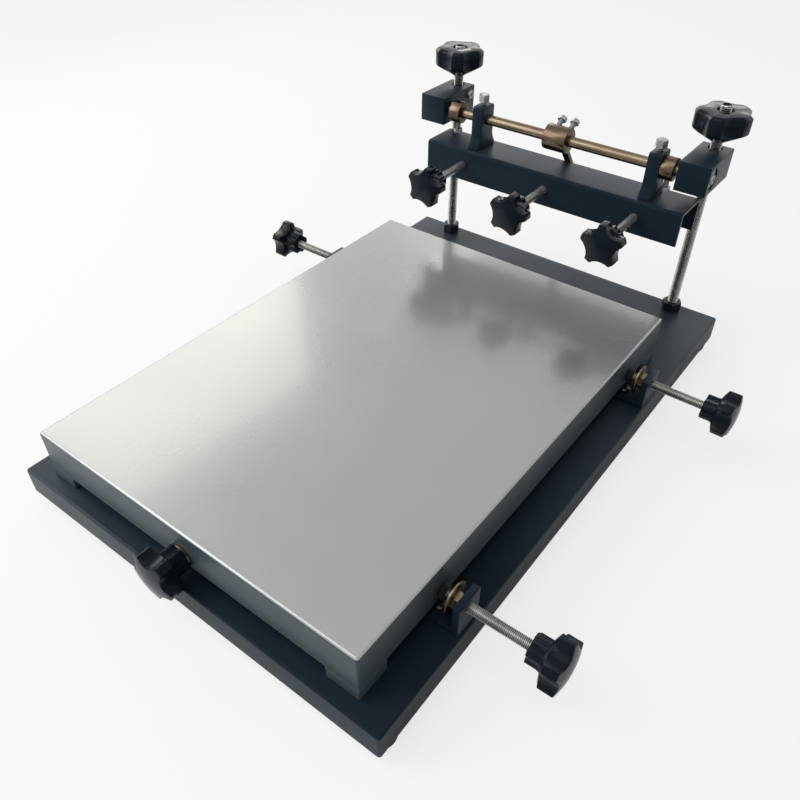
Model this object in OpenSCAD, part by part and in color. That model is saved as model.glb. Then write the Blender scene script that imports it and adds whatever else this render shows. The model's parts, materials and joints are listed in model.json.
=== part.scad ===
// Bench stencil printer: a folded base, a sliding work platform and a hinged frame clamp on two posts
// X is to the right, Y to the back and Z up, and the feet stand on Z = 0

/* [Base tray] */
// Base's long sides beyond the platform's sides
base_side = 25; // [20:0.5:45]
// Height of the base's folded sides
base_h = 24; // [20:0.5:40]
// Sheet thickness of the base
base_t = 2; // [1:0.1:2]
// Outer bend radius of the base
base_bend = 2.4; // [2.1:0.1:5]
// Width of the lips turned in under the long sides
lip_w = 28; // [26:1:40]

/* [Feet] */
// Diameter of a rubber foot
foot_d = 27; // [16:0.5:27]
// Height of a rubber foot
foot_h = 10; // [8:0.5:20]
// Foot's axis from the long side of the base
foot_side = 14; // [13:0.5:16]
// Foot's axis from the short side of the base
foot_end = 16; // [14:0.5:30]
// Diameter of a foot screw
foot_screw_d = 5; // [4:0.5:6]

/* [Platform] */
// Width of the work platform
plat_w = 320; // [290:1:360]
// Length of the work platform
plat_l = 440; // [380:1:520]
// Platform's front edge from the front edge of the base
plat_setback = 12; // [8:0.5:20]
// Depth of the platform's folded skirt
plat_depth = 34; // [33:0.5:50]
// Sheet thickness of the platform
plat_t = 2; // [1.5:0.1:2.2]
// Outer bend radius of the platform
plat_bend = 2.3; // [2.3:0.1:5]
// Side of a square corner glide
glide_l = 28; // [20:1:36]
// Height of a corner glide
glide_h = 12; // [11:0.5:14]

/* [Adjusting screws] */
// Right front screw's axis from the platform's front edge
side_front = 86; // [68:1:138]
// Right rear screw's axis from the platform's rear edge
side_rear = 64; // [52:1:112]
// Left screw's axis from the platform's rear edge
side_left = 70; // [52:1:112]
// Height of all adjusting screws above the base's top face
screw_z = 20.5; // [20:0.5:22]
// Thread diameter of the knob screws
screw_d = 8; // [6:0.5:9]
// Platform's side to the inner end of a right knob
side_reach = 70; // [50:1:90]
// Platform's side to the inner end of the left knob
left_reach = 74; // [50:1:90]
// Gap from the platform's side to a bracket
bracket_gap = 17; // [17:0.5:18]
// Diameter of the cap on a side screw's tip
cap_d = 12; // [11:0.5:14]
// Length of the cap on a side screw's tip
cap_l = 5; // [4.5:0.1:5.2]
// Width of a screw bracket
bracket_w = 25; // [20:0.5:40]
// Thickness of a screw bracket's upright
bracket_t = 6; // [4:0.5:8]
// Height of a screw bracket
bracket_h = 29; // [27:0.5:30]
// Length of a bracket's foot under the platform
bracket_foot = 24; // [22:0.5:40]
// Thickness of a bracket's foot
bracket_foot_t = 4; // [3:0.5:5]
// Distance from the platform's front skirt to the front bracket
front_bracket_gap = 16; // [16:0.5:30]
// Diameter of the large washers
washer_d = 26; // [20:0.5:28]
// Thickness of the large washers
washer_t = 1.6; // [1:0.1:2]
// Width across the flats of the screw nuts
nut_af = 13; // [12:0.5:16]
// Height of the screw nuts
nut_h = 5; // [4:0.1:5]
// Diameter of the bracket screws
bracket_screw_d = 6; // [4:0.5:7]
// Travel of the platform each way from the middle
plat_travel = 4.5; // [2:0.1:4.5]

/* [Star knobs] */
// Diameter over the lobes of a knob
knob_d = 40; // [30:0.5:44]
// Length of a knob with its hub
knob_h = 28; // [26:0.5:40]
// Thickness of a knob's lobed head
knob_head = 16; // [12:0.5:20]
// Diameter over the hub of a knob
knob_hub_d = 22; // [16:0.5:26]
// Depth of a knob's screw socket
knob_socket = 18; // [12:0.5:22]
// Number of lobes
lobes = 5; // [5:1:6]

/* [Posts] */
// Diameter of a post
post_d = 10; // [8:0.5:11]
// Posts' axes from the long sides of the base
post_side = 45.5; // [40:0.5:50]
// Posts' axes from the rear edge of the base
post_rear = 12.5; // [12.5:0.5:18]
// Platform's rear edge to the posts' axes
post_room = 93.5; // [70:0.5:110]
// Height of the posts above the base's top face
post_h = 210; // [209:1:212]
// Width across the flats of the post nuts
post_nut_af = 17; // [16:0.5:17.5]
// Height of a post nut
post_nut_h = 9.5; // [5:0.5:10]
// Diameter over the lobes of a height knob
star_d = 50; // [40:0.5:54]
// Length of a height knob
star_h = 26.5; // [26:0.5:32]
// Thickness of a height knob's lobed head
star_head = 16; // [12:0.5:18]
// Diameter of the small end under a height knob
star_hub_d = 16; // [15:0.5:24]
// Gap from the left block to its height knob
star_gap_left = 10.5; // [7.5:0.5:12]
// Gap from the right block to its height knob
star_gap_right = 7.5; // [7.5:0.5:12]

/* [Hinge] */
// Width of a post block along the shaft
block_w = 29; // [26:0.5:32]
// Length of a post block, front to back
block_l = 56; // [54:0.5:60]
// Height of a post block
block_h = 27; // [26:0.5:32]
// Underside of the blocks above the base's top face
block_lift = 144.5; // [142:0.5:146]
// Post's axis from the block's rear face
block_rear = 9.5; // [8.5:0.5:12]
// Shaft's axis from the block's front face
block_nose = 11; // [9.5:0.5:14]
// Diameter of the hinge shaft
shaft_d = 10; // [8:0.5:11]
// Diameter of the two end collars
collar_d = 21; // [18:0.5:22]
// Length of the two end collars
collar_l = 12; // [10:0.5:14]
// Gap from the left block to its collar
collar_gap = 5; // [3:0.5:8]
// Diameter of the stop collar
stop_d = 24; // [22:0.5:25]
// Length of the stop collar
stop_l = 24; // [20:0.5:30]
// Stop collar's middle to the right of the middle plane
stop_x = 2; // [-10:0.5:10]
// Width of the stop bar along the shaft
stop_bar_w = 7; // [5:0.5:9]
// Thickness of the stop bar
stop_bar_t = 4; // [3:0.5:6]
// Stop bar's middle to the right of the stop collar's middle
stop_bar_x = 3; // [-3:0.5:3]
// Reach of the stop bar from the shaft's axis
stop_reach = 150; // [120:1:152]
// Diameter of the collar screws
collar_screw_d = 5; // [4:0.5:6]

/* [Frame clamp] */
// Length of the clamp channel
beam_l = 280; // [250:1:290]
// Depth of the clamp channel
beam_d = 43; // [40:0.5:45]
// Height of the clamp channel
beam_h = 32; // [31:0.5:34]
// Sheet thickness of the clamp channel
beam_t = 2.5; // [2:0.1:2.8]
// Outer bend radius of the clamp channel
beam_bend = 3; // [3:0.1:5]
// Shaft's axis above the clamp channel
beam_drop = 28.5; // [27:0.5:30]
// Channel's front face ahead of the shaft's axis
beam_ahead = 21; // [19:0.5:22]
// Channel's middle to the right of the middle plane
clamp_shift = 3; // [0:0.5:4]
// Left upright's middle from the left block's inner face
left_upright_gap = 40.5; // [24:0.5:60]
// Right upright's middle from the right block's inner face
right_upright_gap = 22.5; // [19:0.5:50]
// Thickness of an upright along the shaft
upright_w = 12; // [8:0.5:13]
// Depth of an upright at the shaft
upright_d = 22; // [18:0.5:24]
// Depth of an upright at its foot
upright_foot_d = 32; // [26:0.5:32]
// Upright's top above the shaft's axis
upright_top = 13.5; // [10:0.5:16]
// Diameter of the friction bolts
bolt_d = 6; // [5:0.5:7]
// Friction bolts' lock nuts above the uprights
bolt_lift = 3; // [1:0.5:5]
// Outer clamp screws' axes from the channel's ends
clamp_end = 44; // [30:1:60]
// Clamp screws' axis below the top of the channel
clamp_below = 16; // [13:0.5:18]
// Channel's front face to the inner end of a clamp knob
clamp_reach = 44; // [36:1:48]
// Diameter of a pressing pad
pad_d = 16; // [12:0.5:18]
// Thickness of a pressing pad
pad_t = 6; // [5:0.5:7]
// Height of a weld nut
weld_nut_h = 6; // [4:0.5:6]

/* [Fits] */
// Radial clearance of a bore round its screw or shaft
run_gap = 0.05; // [0.02:0.01:0.1]
// Radial clearance of a plain through hole
hole_gap = 0.5; // [0.3:0.1:1]
// Gap between faces that slide or turn past each other
slide_gap = 0.3; // [0.2:0.1:0.5]

/* [Hidden] */

// Overrun of every cut past the faces that it opens
over = 1;
// Facets of round faces, and of the small ones
$fn = 72;
small_fn = 36;
crown_fn = 120;

// Chamfer on a rod's ends as a share of its diameter
rod_edge_share = 0.08;
// Height of a knob's domed face as a share of its lobed head
crown_share = 0.2;
// Height of a knob's hub as a share of the length below its lobed head
hub_share = 0.7;
// Chamfer round the top of a height knob as a share of its lobed head
star_edge_share = 0.16;
// Depth of the dish in the top of a height knob as a share of its lobed head
star_dish_share = 0.12;
// Diameter of the front washers as a share of the large washers' diameter
front_washer_share = 0.77;
// Place of a bracket's screw as a share of the bracket's foot
bracket_screw_share = 0.7;
// Height and width across the flats of a friction bolt's head and nut as shares of the bolt's diameter
bolt_head_share = 0.6;
bolt_flats_share = 1.65;
// Places of the stop collar's screws from its middle as a share of its length
stop_screw_share = 0.28;
// Depth of a pressing pad's seat as a share of its thickness
pad_seat_share = 0.6;
// Depth of the floor in a screw cap as a share of its length
cap_floor_share = 0.4;
// Height that a small flat takes off the middle of that face, as a share of the lobed head
crown_flat_share = 0.006;

// Share of a knob's radius at the bottom of its flutes, and the flutes' own radius as such a share
knob_waist_share = 0.7;
knob_flute_share = 0.62;
star_waist_share = 0.85;
star_flute_share = 0.9;
hub_waist_share = 0.84;
hub_flute_share = 0.7;

// Turns of the knobs and of the stop collar's screws
front_knob_turn = 126;
right_front_knob_turn = 20;
right_rear_knob_turn = 5;
left_rear_knob_turn = 10;
left_clamp_knob_turn = 100;
middle_clamp_knob_turn = 85;
right_clamp_knob_turn = 92;
left_height_knob_turn = 10;
right_height_knob_turn = -14;
stop_screw_lean = 55;

// Size of the base
base_w = plat_w + 2 * base_side;
base_l = plat_setback + plat_l + post_room + post_rear;

// Heights
base_top = foot_h + base_h;
tray_low = base_top + slide_gap + glide_h;
plat_top = tray_low + plat_depth;
screw_axis_z = base_top + screw_z;
block_low = base_top + block_lift;
block_top = block_low + block_h;
shaft_z = block_low + block_h / 2;
beam_top = shaft_z - beam_drop;

// Places along Y, counted from the front edge of the base
post_y = base_l - post_rear;
block_front = post_y + block_rear - block_l;
shaft_y = block_front + block_nose;
beam_front = shaft_y - beam_ahead;
beam_back = beam_front + beam_d;

// Places of the side screws along Y
right_front_y = plat_setback + side_front;
right_rear_y = plat_setback + plat_l - side_rear;
left_rear_y = plat_setback + plat_l - side_left;

// Places along X
post_x = base_w / 2 - post_side;
block_inner = post_x - block_w / 2;
// The shaft's ends lie this far inside the blocks' outer faces
shaft_sink = 6;
shaft_half = post_x + block_w / 2 - shaft_sink;
left_upright_x = left_upright_gap - block_inner;
right_upright_x = block_inner - right_upright_gap;
left_collar_x = collar_gap - block_inner;
right_collar_x = right_upright_x + upright_w / 2 + slide_gap;
clamp_pitch = beam_l / 2 - clamp_end;

// The stop bar lies against the rounded rear top edge of the clamp channel
edge_y = beam_back - beam_bend - shaft_y;
edge_z = beam_drop + beam_bend;
edge_far = sqrt(edge_y * edge_y + edge_z * edge_z);
stop_angle = atan2(edge_z, edge_y) - asin((stop_bar_t / 2 + beam_bend + slide_gap) / edge_far);

// Axial places on the front screw, counted outwards from the front skirt
front_knob_in = slide_gap + washer_t;
front_tip = front_bracket_gap + bracket_t + screw_d;
front_nut_in = plat_t + slide_gap + washer_t;

// Axial places on a side screw, counted outwards from the platform's side
side_nut_in = bracket_gap - nut_h;
cap_floor = cap_l * cap_floor_share;
side_tip = cap_floor + slide_gap;
pad_in = beam_t + weld_nut_h + slide_gap;

// The middle of the whole machine lies on Y = 0
front_most = plat_setback - front_knob_in - knob_h;
rear_most = shaft_y + stop_reach * cos(stop_angle) + stop_bar_t / 2 * sin(stop_angle);
frame_y = (front_most + rear_most) / 2;

// Foot screws: nut, recess in the foot, and head
foot_nut_af = foot_screw_d * 1.6;
foot_nut_h = foot_screw_d * 0.8;
foot_recess = foot_h * 0.4;
foot_head_d = foot_screw_d * 1.8;
foot_head_h = foot_screw_d * 0.6;

// Bracket screws: head and nut
bracket_head_d = bracket_screw_d * 1.75;
bracket_head_h = bracket_screw_d * 0.5;
bracket_nut_af = bracket_screw_d * 1.65;
bracket_nut_h = bracket_screw_d * 0.8;

// Post below its lower nut, and the funnel at the top of a block's bore
post_tail = 3;
bore_flare = post_d * 0.35;
flare_deep = block_h * 0.15;

// Recess in a block's outer face, with the washer and screw in the shaft's end
end_recess_d = 16;
end_recess_h = 2.5;
end_washer_t = 1.2;
end_screw_d = 5;
end_head_d = 9;

// Lock screw in a block's inner face
lock_screw_d = 5;
lock_head_d = 9;
lock_head_h = 3;

// Width of a hexagon across its corners as a share of its width across the flats
hex_share = 1.1547;

// Moves a piece from the base's own front edge to the frame of the machine
module in_frame() {
    translate([0, -frame_y, 0]) children();
}

// Frame of a side screw: Z runs outwards from the platform's side
module on_side(side, along) {
    translate([side * plat_w / 2, along, screw_axis_z]) rotate([0, side * 90, 0]) children();
}

// Frame of the front screw: Z runs forwards from the front skirt
module on_front() {
    translate([0, plat_setback, screw_axis_z]) rotate([90, 0, 0]) children();
}

// Frame of a clamp screw: Z runs forwards from the channel's front face
module on_clamp(across) {
    translate([across, beam_front, beam_top - clamp_below]) rotate([90, 0, 0]) children();
}

// Frame of the shaft: Z runs to the right along its axis
module on_shaft(across) {
    translate([across, shaft_y, shaft_z]) rotate([0, 90, 0]) children();
}

// Plain rod along Z with chamfered ends
module rod(d, low, high) {
    edge = d * rod_edge_share;
    translate([0, 0, low]) cylinder(h = edge, d1 = d - 2 * edge, d2 = d);
    translate([0, 0, low + edge]) cylinder(h = high - low - 2 * edge, d = d);
    translate([0, 0, high - edge]) cylinder(h = edge, d1 = d, d2 = d - 2 * edge);
}

// Flat ring along Z
module ring(outer, inner, thick) {
    difference() {
        cylinder(h = thick, d = outer);
        translate([0, 0, -over]) cylinder(h = thick + 2 * over, d = inner);
    }
}

// Hexagon nut along Z, with its corners turned off on both faces
module hex_nut(flats, thick, hole) {
    corners = flats * hex_share;
    slope = (corners - flats) / 2;
    difference() {
        intersection() {
            cylinder(h = thick, d = corners, $fn = 6);
            rotate_extrude($fn = small_fn) polygon([
                [0, 0],
                [flats / 2, 0],
                [corners / 2, slope],
                [corners / 2, thick - slope],
                [flats / 2, thick],
                [0, thick]
            ]);
        }
        translate([0, 0, -over]) cylinder(h = thick + 2 * over, d = hole);
    }
}

// Screw along Z with a hexagon head that starts at Z = 0, its shank running down
module hex_screw(d, length, flats, head) {
    translate([0, 0, -length]) cylinder(h = length, d = d, $fn = small_fn);
    hex_nut_head(flats, head);
}

// Solid hexagon head
module hex_nut_head(flats, head) {
    corners = flats * hex_share;
    slope = (corners - flats) / 2;
    intersection() {
        cylinder(h = head, d = corners, $fn = 6);
        rotate_extrude($fn = small_fn) polygon([
            [0, 0],
            [corners / 2, 0],
            [corners / 2, head - slope],
            [flats / 2, head],
            [0, head]
        ]);
    }
}

// Screw along Z with a domed head that starts at Z = 0, its shank running down
module pan_screw(d, length, head_d, head_h) {
    socket = d * 0.5;
    difference() {
        union() {
            translate([0, 0, -length]) cylinder(h = length, d = d, $fn = small_fn);
            rotate_extrude($fn = small_fn) polygon([
                [0, 0],
                [head_d / 2, 0],
                [head_d / 2, head_h * 0.5],
                [head_d * 0.38, head_h * 0.88],
                [head_d * 0.25, head_h],
                [0, head_h]
            ]);
        }
        translate([0, 0, head_h * 0.4]) cylinder(h = head_h, d = socket, $fn = 6);
    }
}

// Outline of a knob: a disc with round flutes cut between its lobes
module star_outline(d, waist_share, flute_share) {
    flute = d / 2 * flute_share;
    far = d / 2 * waist_share + flute;
    difference() {
        circle(d = d);
        for (i = [0:lobes - 1]) rotate((i + 0.5) * 360 / lobes) translate([far, 0]) circle(r = flute);
    }
}

// Turned envelope of a knob: hub end at Z = 0, then the skirt under the lobes and their straight rim
module knob_envelope(d, h, head, hub_d) {
    low = h - head;
    rotate_extrude() polygon([
        [0, 0],
        [hub_d * 0.5, 0],
        [hub_d * 0.5, low * hub_share],
        [hub_d * 0.62, low],
        [d * 0.5, low + head * 0.12],
        [d * 0.5, h],
        [0, h]
    ]);
}

// Lobed knob along Z with a domed face
module star_knob() {
    sag = knob_head * crown_share;
    dome = (knob_d * knob_d / 4 + sag * sag) / (2 * sag);
    hub = (knob_h - knob_head) * hub_share;
    intersection() {
        knob_envelope(knob_d, knob_h, knob_head, knob_hub_d);
        translate([0, 0, knob_h + knob_head * crown_flat_share - dome]) sphere(r = dome, $fn = crown_fn);
        union() {
            translate([0, 0, hub]) linear_extrude(knob_h)
                star_outline(knob_d, knob_waist_share, knob_flute_share);
            linear_extrude(knob_h - knob_head) star_outline(knob_hub_d, hub_waist_share, hub_flute_share);
        }
    }
}

// Flat-topped height knob along Z, with a cone under its lobed rim
module flat_knob() {
    edge = star_head * star_edge_share;
    intersection() {
        rotate_extrude() polygon([
            [0, 0],
            [star_hub_d / 2, 0],
            [star_d / 2, star_h - star_head],
            [star_d / 2, star_h - edge],
            [star_d / 2 - edge, star_h],
            [0, star_h]
        ]);
        translate([0, 0, -over]) linear_extrude(star_h + 2 * over)
            star_outline(star_d, star_waist_share, star_flute_share);
    }
}

// Knob with a blind socket for its screw
module screw_knob() {
    difference() {
        star_knob();
        translate([0, 0, -over]) cylinder(h = knob_socket + over, d = screw_d + 2 * run_gap);
    }
}

// Rectangle with its two top corners rounded
module tray_profile(width, height, r) {
    translate([-width / 2, 0]) square([width, height - r]);
    translate([r - width / 2, 0]) square([width - 2 * r, height]);
    for (s = [-1, 1]) translate([s * (width / 2 - r), height - r]) circle(r = r);
}

// Block with rounded top edges, its front edge on Y = 0 and its underside on Z = 0
module folded_block(width, length, height, r) {
    intersection() {
        translate([0, length, 0]) rotate([90, 0, 0]) linear_extrude(length) tray_profile(width, height, r);
        translate([-width / 2, length / 2, 0]) rotate([90, 0, 90]) linear_extrude(width)
            tray_profile(length, height, r);
    }
}

// Open-bottomed tray folded from sheet
module folded_tray(width, length, height, thick, r) {
    difference() {
        folded_block(width, length, height, r);
        translate([0, thick, -over])
            folded_block(width - 2 * thick, length - 2 * thick, height - thick + over, r - thick);
    }
}

// Base tray with its turned-in lips and holes
module base_tray() {
    color([0.10, 0.11, 0.12]) in_frame() difference() {
        union() {
            translate([0, 0, foot_h]) folded_tray(base_w, base_l, base_h, base_t, base_bend);
            for (s = [-1, 1]) translate([s * (base_w - lip_w - base_t) / 2, base_l / 2, foot_h + base_t / 2])
                cube([lip_w, base_l - 2 * base_t, base_t], center = true);
        }
        foot_places() translate([0, 0, foot_h - over])
            cylinder(h = base_t + 2 * over, d = foot_screw_d + 2 * run_gap, $fn = small_fn);
        post_places() translate([0, 0, base_top - base_t - over])
            cylinder(h = base_t + 2 * over, d = post_d + 2 * run_gap);
        bracket_screw_places() translate([0, 0, base_top - base_t - over])
            cylinder(h = base_t + 2 * over, d = bracket_screw_d + 2 * run_gap, $fn = small_fn);
    }
}

// Places of the four feet
module foot_places() {
    for (s = [-1, 1]) for (along = [foot_end, base_l - foot_end])
        translate([s * (base_w / 2 - foot_side), along, 0]) children();
}

// Places of the two posts
module post_places() {
    for (s = [-1, 1]) translate([s * post_x, post_y, 0]) children();
}

// Sides and places along Y of the three side screws
side_places = [[1, right_front_y], [1, right_rear_y], [-1, left_rear_y]];

// Places of the bracket screws, three at the sides and one at the front
module bracket_screw_places() {
    inset = bracket_foot * bracket_screw_share;
    for (p = side_places) translate([p[0] * (plat_w / 2 + bracket_gap - inset), p[1], 0]) children();
    translate([0, plat_setback + front_bracket_gap + bracket_t + inset, 0]) children();
}

// Rubber feet with a recess for the screw head
module rubber_feet() {
    color([0.06, 0.06, 0.06]) in_frame() foot_places() difference() {
        rotate_extrude() polygon([
            [0, 0],
            [foot_d * 0.42, 0],
            [foot_d * 0.45, foot_h * 0.06],
            [foot_d * 0.5, foot_h],
            [0, foot_h]
        ]);
        translate([0, 0, -over])
            cylinder(h = foot_recess + over, d = foot_head_d + 2 * hole_gap, $fn = small_fn);
        cylinder(h = foot_h + over, d = foot_screw_d + 2 * run_gap, $fn = small_fn);
    }
}

// Foot screws with a nut on top of each lip
module foot_screws() {
    grip = foot_h - foot_recess + base_t + foot_nut_h;
    color([0.75, 0.75, 0.76]) in_frame() foot_places() {
        translate([0, 0, foot_recess]) rotate([180, 0, 0])
            pan_screw(foot_screw_d, grip, foot_head_d, foot_head_h);
        translate([0, 0, foot_h + base_t]) hex_nut(foot_nut_af, foot_nut_h, foot_screw_d + 2 * run_gap);
    }
}

// Angle bracket: upright at the outside, foot towards -Z of its own frame
module angle_bracket() {
    low = -screw_z;
    difference() {
        union() {
            translate([low, -bracket_w / 2, 0]) cube([bracket_h, bracket_w, bracket_t]);
            translate([low, -bracket_w / 2, -bracket_foot])
                cube([bracket_foot_t, bracket_w, bracket_foot + bracket_t]);
        }
        translate([0, 0, -over]) cylinder(h = bracket_t + 2 * over, d = screw_d + 2 * run_gap);
        translate([low - over, 0, -bracket_foot * bracket_screw_share]) rotate([0, 90, 0])
            cylinder(h = bracket_foot_t + 2 * over, d = bracket_screw_d + 2 * run_gap, $fn = small_fn);
    }
}

// Three brackets that carry the side screws
module side_brackets() {
    color([0.10, 0.11, 0.12]) in_frame() for (p = side_places)
        on_side(p[0], p[1]) translate([0, 0, bracket_gap]) rotate([0, 0, p[0] > 0 ? 180 : 0]) angle_bracket();
}

// Bracket under the platform that carries the front screw
module front_bracket() {
    color([0.10, 0.11, 0.12]) in_frame() on_front() translate([0, 0, -front_bracket_gap - bracket_t])
        rotate([0, 0, 90]) angle_bracket();
}

// Screws that hold the brackets to the base
module bracket_screws() {
    grip = bracket_foot_t + base_t + bracket_nut_h;
    color([0.75, 0.75, 0.76]) in_frame() bracket_screw_places() {
        translate([0, 0, base_top + bracket_foot_t])
            pan_screw(bracket_screw_d, grip, bracket_head_d, bracket_head_h);
        translate([0, 0, base_top - base_t - bracket_nut_h])
            hex_nut(bracket_nut_af, bracket_nut_h, bracket_screw_d + 2 * run_gap);
    }
}

// Work platform: folded tray with a slot in its front skirt
module work_platform() {
    slot_w = screw_d + 2 * hole_gap;
    color([0.72, 0.74, 0.76]) in_frame() difference() {
        translate([0, plat_setback, tray_low]) folded_tray(plat_w, plat_l, plat_depth, plat_t, plat_bend);
        on_front() translate([0, 0, -plat_t - over]) {
            for (s = [-1, 1]) translate([s * plat_travel, 0, 0]) cylinder(h = plat_t + 2 * over, d = slot_w);
            translate([-plat_travel, -slot_w / 2, 0]) cube([2 * plat_travel, slot_w, plat_t + 2 * over]);
        }
    }
}

// Square glides under the platform's corners
module platform_glides() {
    color([0.45, 0.47, 0.50]) in_frame() for (s = [-1, 1]) for (far = [0, 1])
        translate([
            s * (plat_w - glide_l) / 2,
            plat_setback + glide_l / 2 + far * (plat_l - glide_l),
            tray_low - glide_h / 2
        ]) cube([glide_l, glide_l, glide_h], center = true);
}

// Two washers that hold the front skirt between them
module front_washers() {
    color([0.80, 0.68, 0.38]) in_frame() on_front() for (low = [slide_gap, -plat_t - slide_gap - washer_t])
        translate([0, 0, low]) ring(washer_d * front_washer_share, screw_d + 2 * run_gap, washer_t);
}

// Front adjusting screw
module front_screw() {
    color([0.78, 0.79, 0.80]) in_frame() on_front()
        rod(screw_d, -front_tip, front_knob_in + knob_socket - slide_gap);
}

// Front adjusting knob
module front_knob() {
    color([0.05, 0.05, 0.06]) in_frame() on_front() translate([0, 0, front_knob_in])
        rotate([0, 0, front_knob_turn]) screw_knob();
}

// Nut that holds the inner front washer
module front_nut() {
    color([0.80, 0.68, 0.38]) in_frame() on_front() translate([0, 0, -front_nut_in - nut_h])
        hex_nut(nut_af, nut_h, screw_d + 2 * run_gap);
}

// Nuts welded to the inner faces of the side brackets
module side_nuts() {
    color([0.80, 0.68, 0.38]) in_frame() side_screw_places() translate([0, 0, side_nut_in])
        hex_nut(nut_af, nut_h, screw_d + 2 * run_gap);
}

// Large washers on the inner faces of those nuts
module side_washers() {
    color([0.80, 0.68, 0.38]) in_frame() side_screw_places() translate([0, 0, side_nut_in - washer_t])
        ring(washer_d, screw_d + 2 * run_gap, washer_t);
}

// Frames of the three side screws
module side_screw_places() {
    for (p = side_places) on_side(p[0], p[1]) children();
}

// Cap on the tip of a side screw, against the platform's side
module side_cap(side, along) {
    color([0.06, 0.06, 0.06]) in_frame() on_side(side, along) translate([0, 0, slide_gap]) difference() {
        rotate_extrude() polygon([
            [0, 0],
            [cap_d * 0.42, 0],
            [cap_d * 0.5, cap_l * 0.2],
            [cap_d * 0.5, cap_l],
            [0, cap_l]
        ]);
        translate([0, 0, cap_floor]) cylinder(h = cap_l, d = screw_d + 2 * run_gap);
    }
}

// Side adjusting screw with its tip in the cap
module side_screw(side, along, reach) {
    color([0.78, 0.79, 0.80]) in_frame() on_side(side, along)
        rod(screw_d, side_tip, reach + knob_socket - slide_gap);
}

// Side adjusting knob
module side_knob(side, along, reach, turn) {
    color([0.05, 0.05, 0.06]) in_frame() on_side(side, along) translate([0, 0, reach])
        rotate([0, 0, turn]) screw_knob();
}

module right_front_cap() { side_cap(1, right_front_y); }
module right_front_screw() { side_screw(1, right_front_y, side_reach); }
module right_front_knob() { side_knob(1, right_front_y, side_reach, right_front_knob_turn); }
module right_rear_cap() { side_cap(1, right_rear_y); }
module right_rear_screw() { side_screw(1, right_rear_y, side_reach); }
module right_rear_knob() { side_knob(1, right_rear_y, side_reach, right_rear_knob_turn); }
module left_rear_cap() { side_cap(-1, left_rear_y); }
module left_rear_screw() { side_screw(-1, left_rear_y, left_reach); }
module left_rear_knob() { side_knob(-1, left_rear_y, left_reach, left_rear_knob_turn); }

// Threaded post, turned by its height knob
module height_post(side) {
    low = base_top - base_t - slide_gap - post_nut_h - post_tail;
    color([0.70, 0.71, 0.73]) in_frame() translate([side * post_x, post_y, 0])
        rod(post_d, low, base_top + post_h);
}

// Post nuts above and below the base
module post_nuts(side) {
    color([0.75, 0.75, 0.76]) in_frame() translate([side * post_x, post_y, 0]) {
        translate([0, 0, base_top + slide_gap])
            hex_nut(post_nut_af, post_nut_h, post_d + 2 * run_gap);
        translate([0, 0, base_top - base_t - slide_gap - post_nut_h])
            hex_nut(post_nut_af, post_nut_h, post_d + 2 * run_gap);
    }
}

// Height knob with the post through its middle
module height_knob(side, gap, turn) {
    dish = post_d * 1.5;
    color([0.05, 0.05, 0.06]) in_frame() translate([side * post_x, post_y, block_top + gap]) difference() {
        rotate([0, 0, turn]) flat_knob();
        translate([0, 0, -over]) cylinder(h = star_h + 2 * over, d = post_d + 2 * run_gap);
        translate([0, 0, star_h - star_head * star_dish_share]) cylinder(h = star_h, d = dish);
    }
}

module left_post() { height_post(-1); }
module left_post_nuts() { post_nuts(-1); }
module left_height_knob() { height_knob(-1, star_gap_left, left_height_knob_turn); }
module right_post() { height_post(1); }
module right_post_nuts() { post_nuts(1); }
module right_height_knob() { height_knob(1, star_gap_right, right_height_knob_turn); }

// Block that runs on a post and holds one end of the shaft
module post_block(side) {
    outer = post_x + block_w / 2;
    color([0.10, 0.11, 0.12]) in_frame() difference() {
        translate([side > 0 ? block_inner : -outer, block_front, block_low])
            cube([block_w, block_l, block_h]);
        translate([side * post_x, post_y, block_low - over])
            cylinder(h = block_h + 2 * over, d = post_d + 2 * run_gap);
        translate([side * post_x, post_y, block_top - flare_deep])
            cylinder(h = flare_deep + over, d = post_d + bore_flare);
        translate([side * (block_inner - over), shaft_y, shaft_z]) rotate([0, side * 90, 0])
            cylinder(h = block_w + 2 * over, d = shaft_d + 2 * run_gap);
        translate([side * (outer - end_recess_h), shaft_y, shaft_z]) rotate([0, side * 90, 0])
            cylinder(h = end_recess_h + over, d = end_recess_d);
        lock_place(side) translate([0, 0, -block_w / 2])
            cylinder(h = block_w / 2 + over, d = lock_screw_d + 2 * run_gap, $fn = small_fn);
    }
}

// Frame of a block's lock screw: Z runs out of the block's inner face
module lock_place(side) {
    translate([side * block_inner, post_y, block_low + block_h * 0.72]) rotate([0, -side * 90, 0]) children();
}

module left_block() { post_block(-1); }
module right_block() { post_block(1); }

// Screws that lock the blocks on their posts
module block_lock_screws() {
    reach = block_w / 2 - post_d / 2 - slide_gap;
    color([0.78, 0.79, 0.80]) in_frame() for (s = [-1, 1]) lock_place(s)
        pan_screw(lock_screw_d, reach, lock_head_d, lock_head_h);
}

// Washers and screws in the shaft's ends
module shaft_end_screws() {
    outer = post_x + block_w / 2;
    color([0.78, 0.79, 0.80]) in_frame() for (s = [-1, 1])
        translate([s * (outer - end_recess_h), shaft_y, shaft_z]) rotate([0, s * 90, 0]) {
            ring(end_recess_d - 2 * hole_gap, end_screw_d + 2 * run_gap, end_washer_t);
            translate([0, 0, end_washer_t])
                pan_screw(end_screw_d, end_washer_t + end_recess_d * 0.8, end_head_d, end_screw_d * 0.45);
        }
}

// Hinge shaft with a tapped hole in each end
module hinge_shaft() {
    deep = end_recess_d;
    color([0.80, 0.68, 0.38]) in_frame() on_shaft(0) difference() {
        rod(shaft_d, -shaft_half, shaft_half);
        for (s = [-1, 1]) translate([0, 0, s * (shaft_half + over - deep / 2)])
            cylinder(h = deep, d = end_screw_d + 2 * run_gap, center = true, $fn = small_fn);
    }
}

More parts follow.
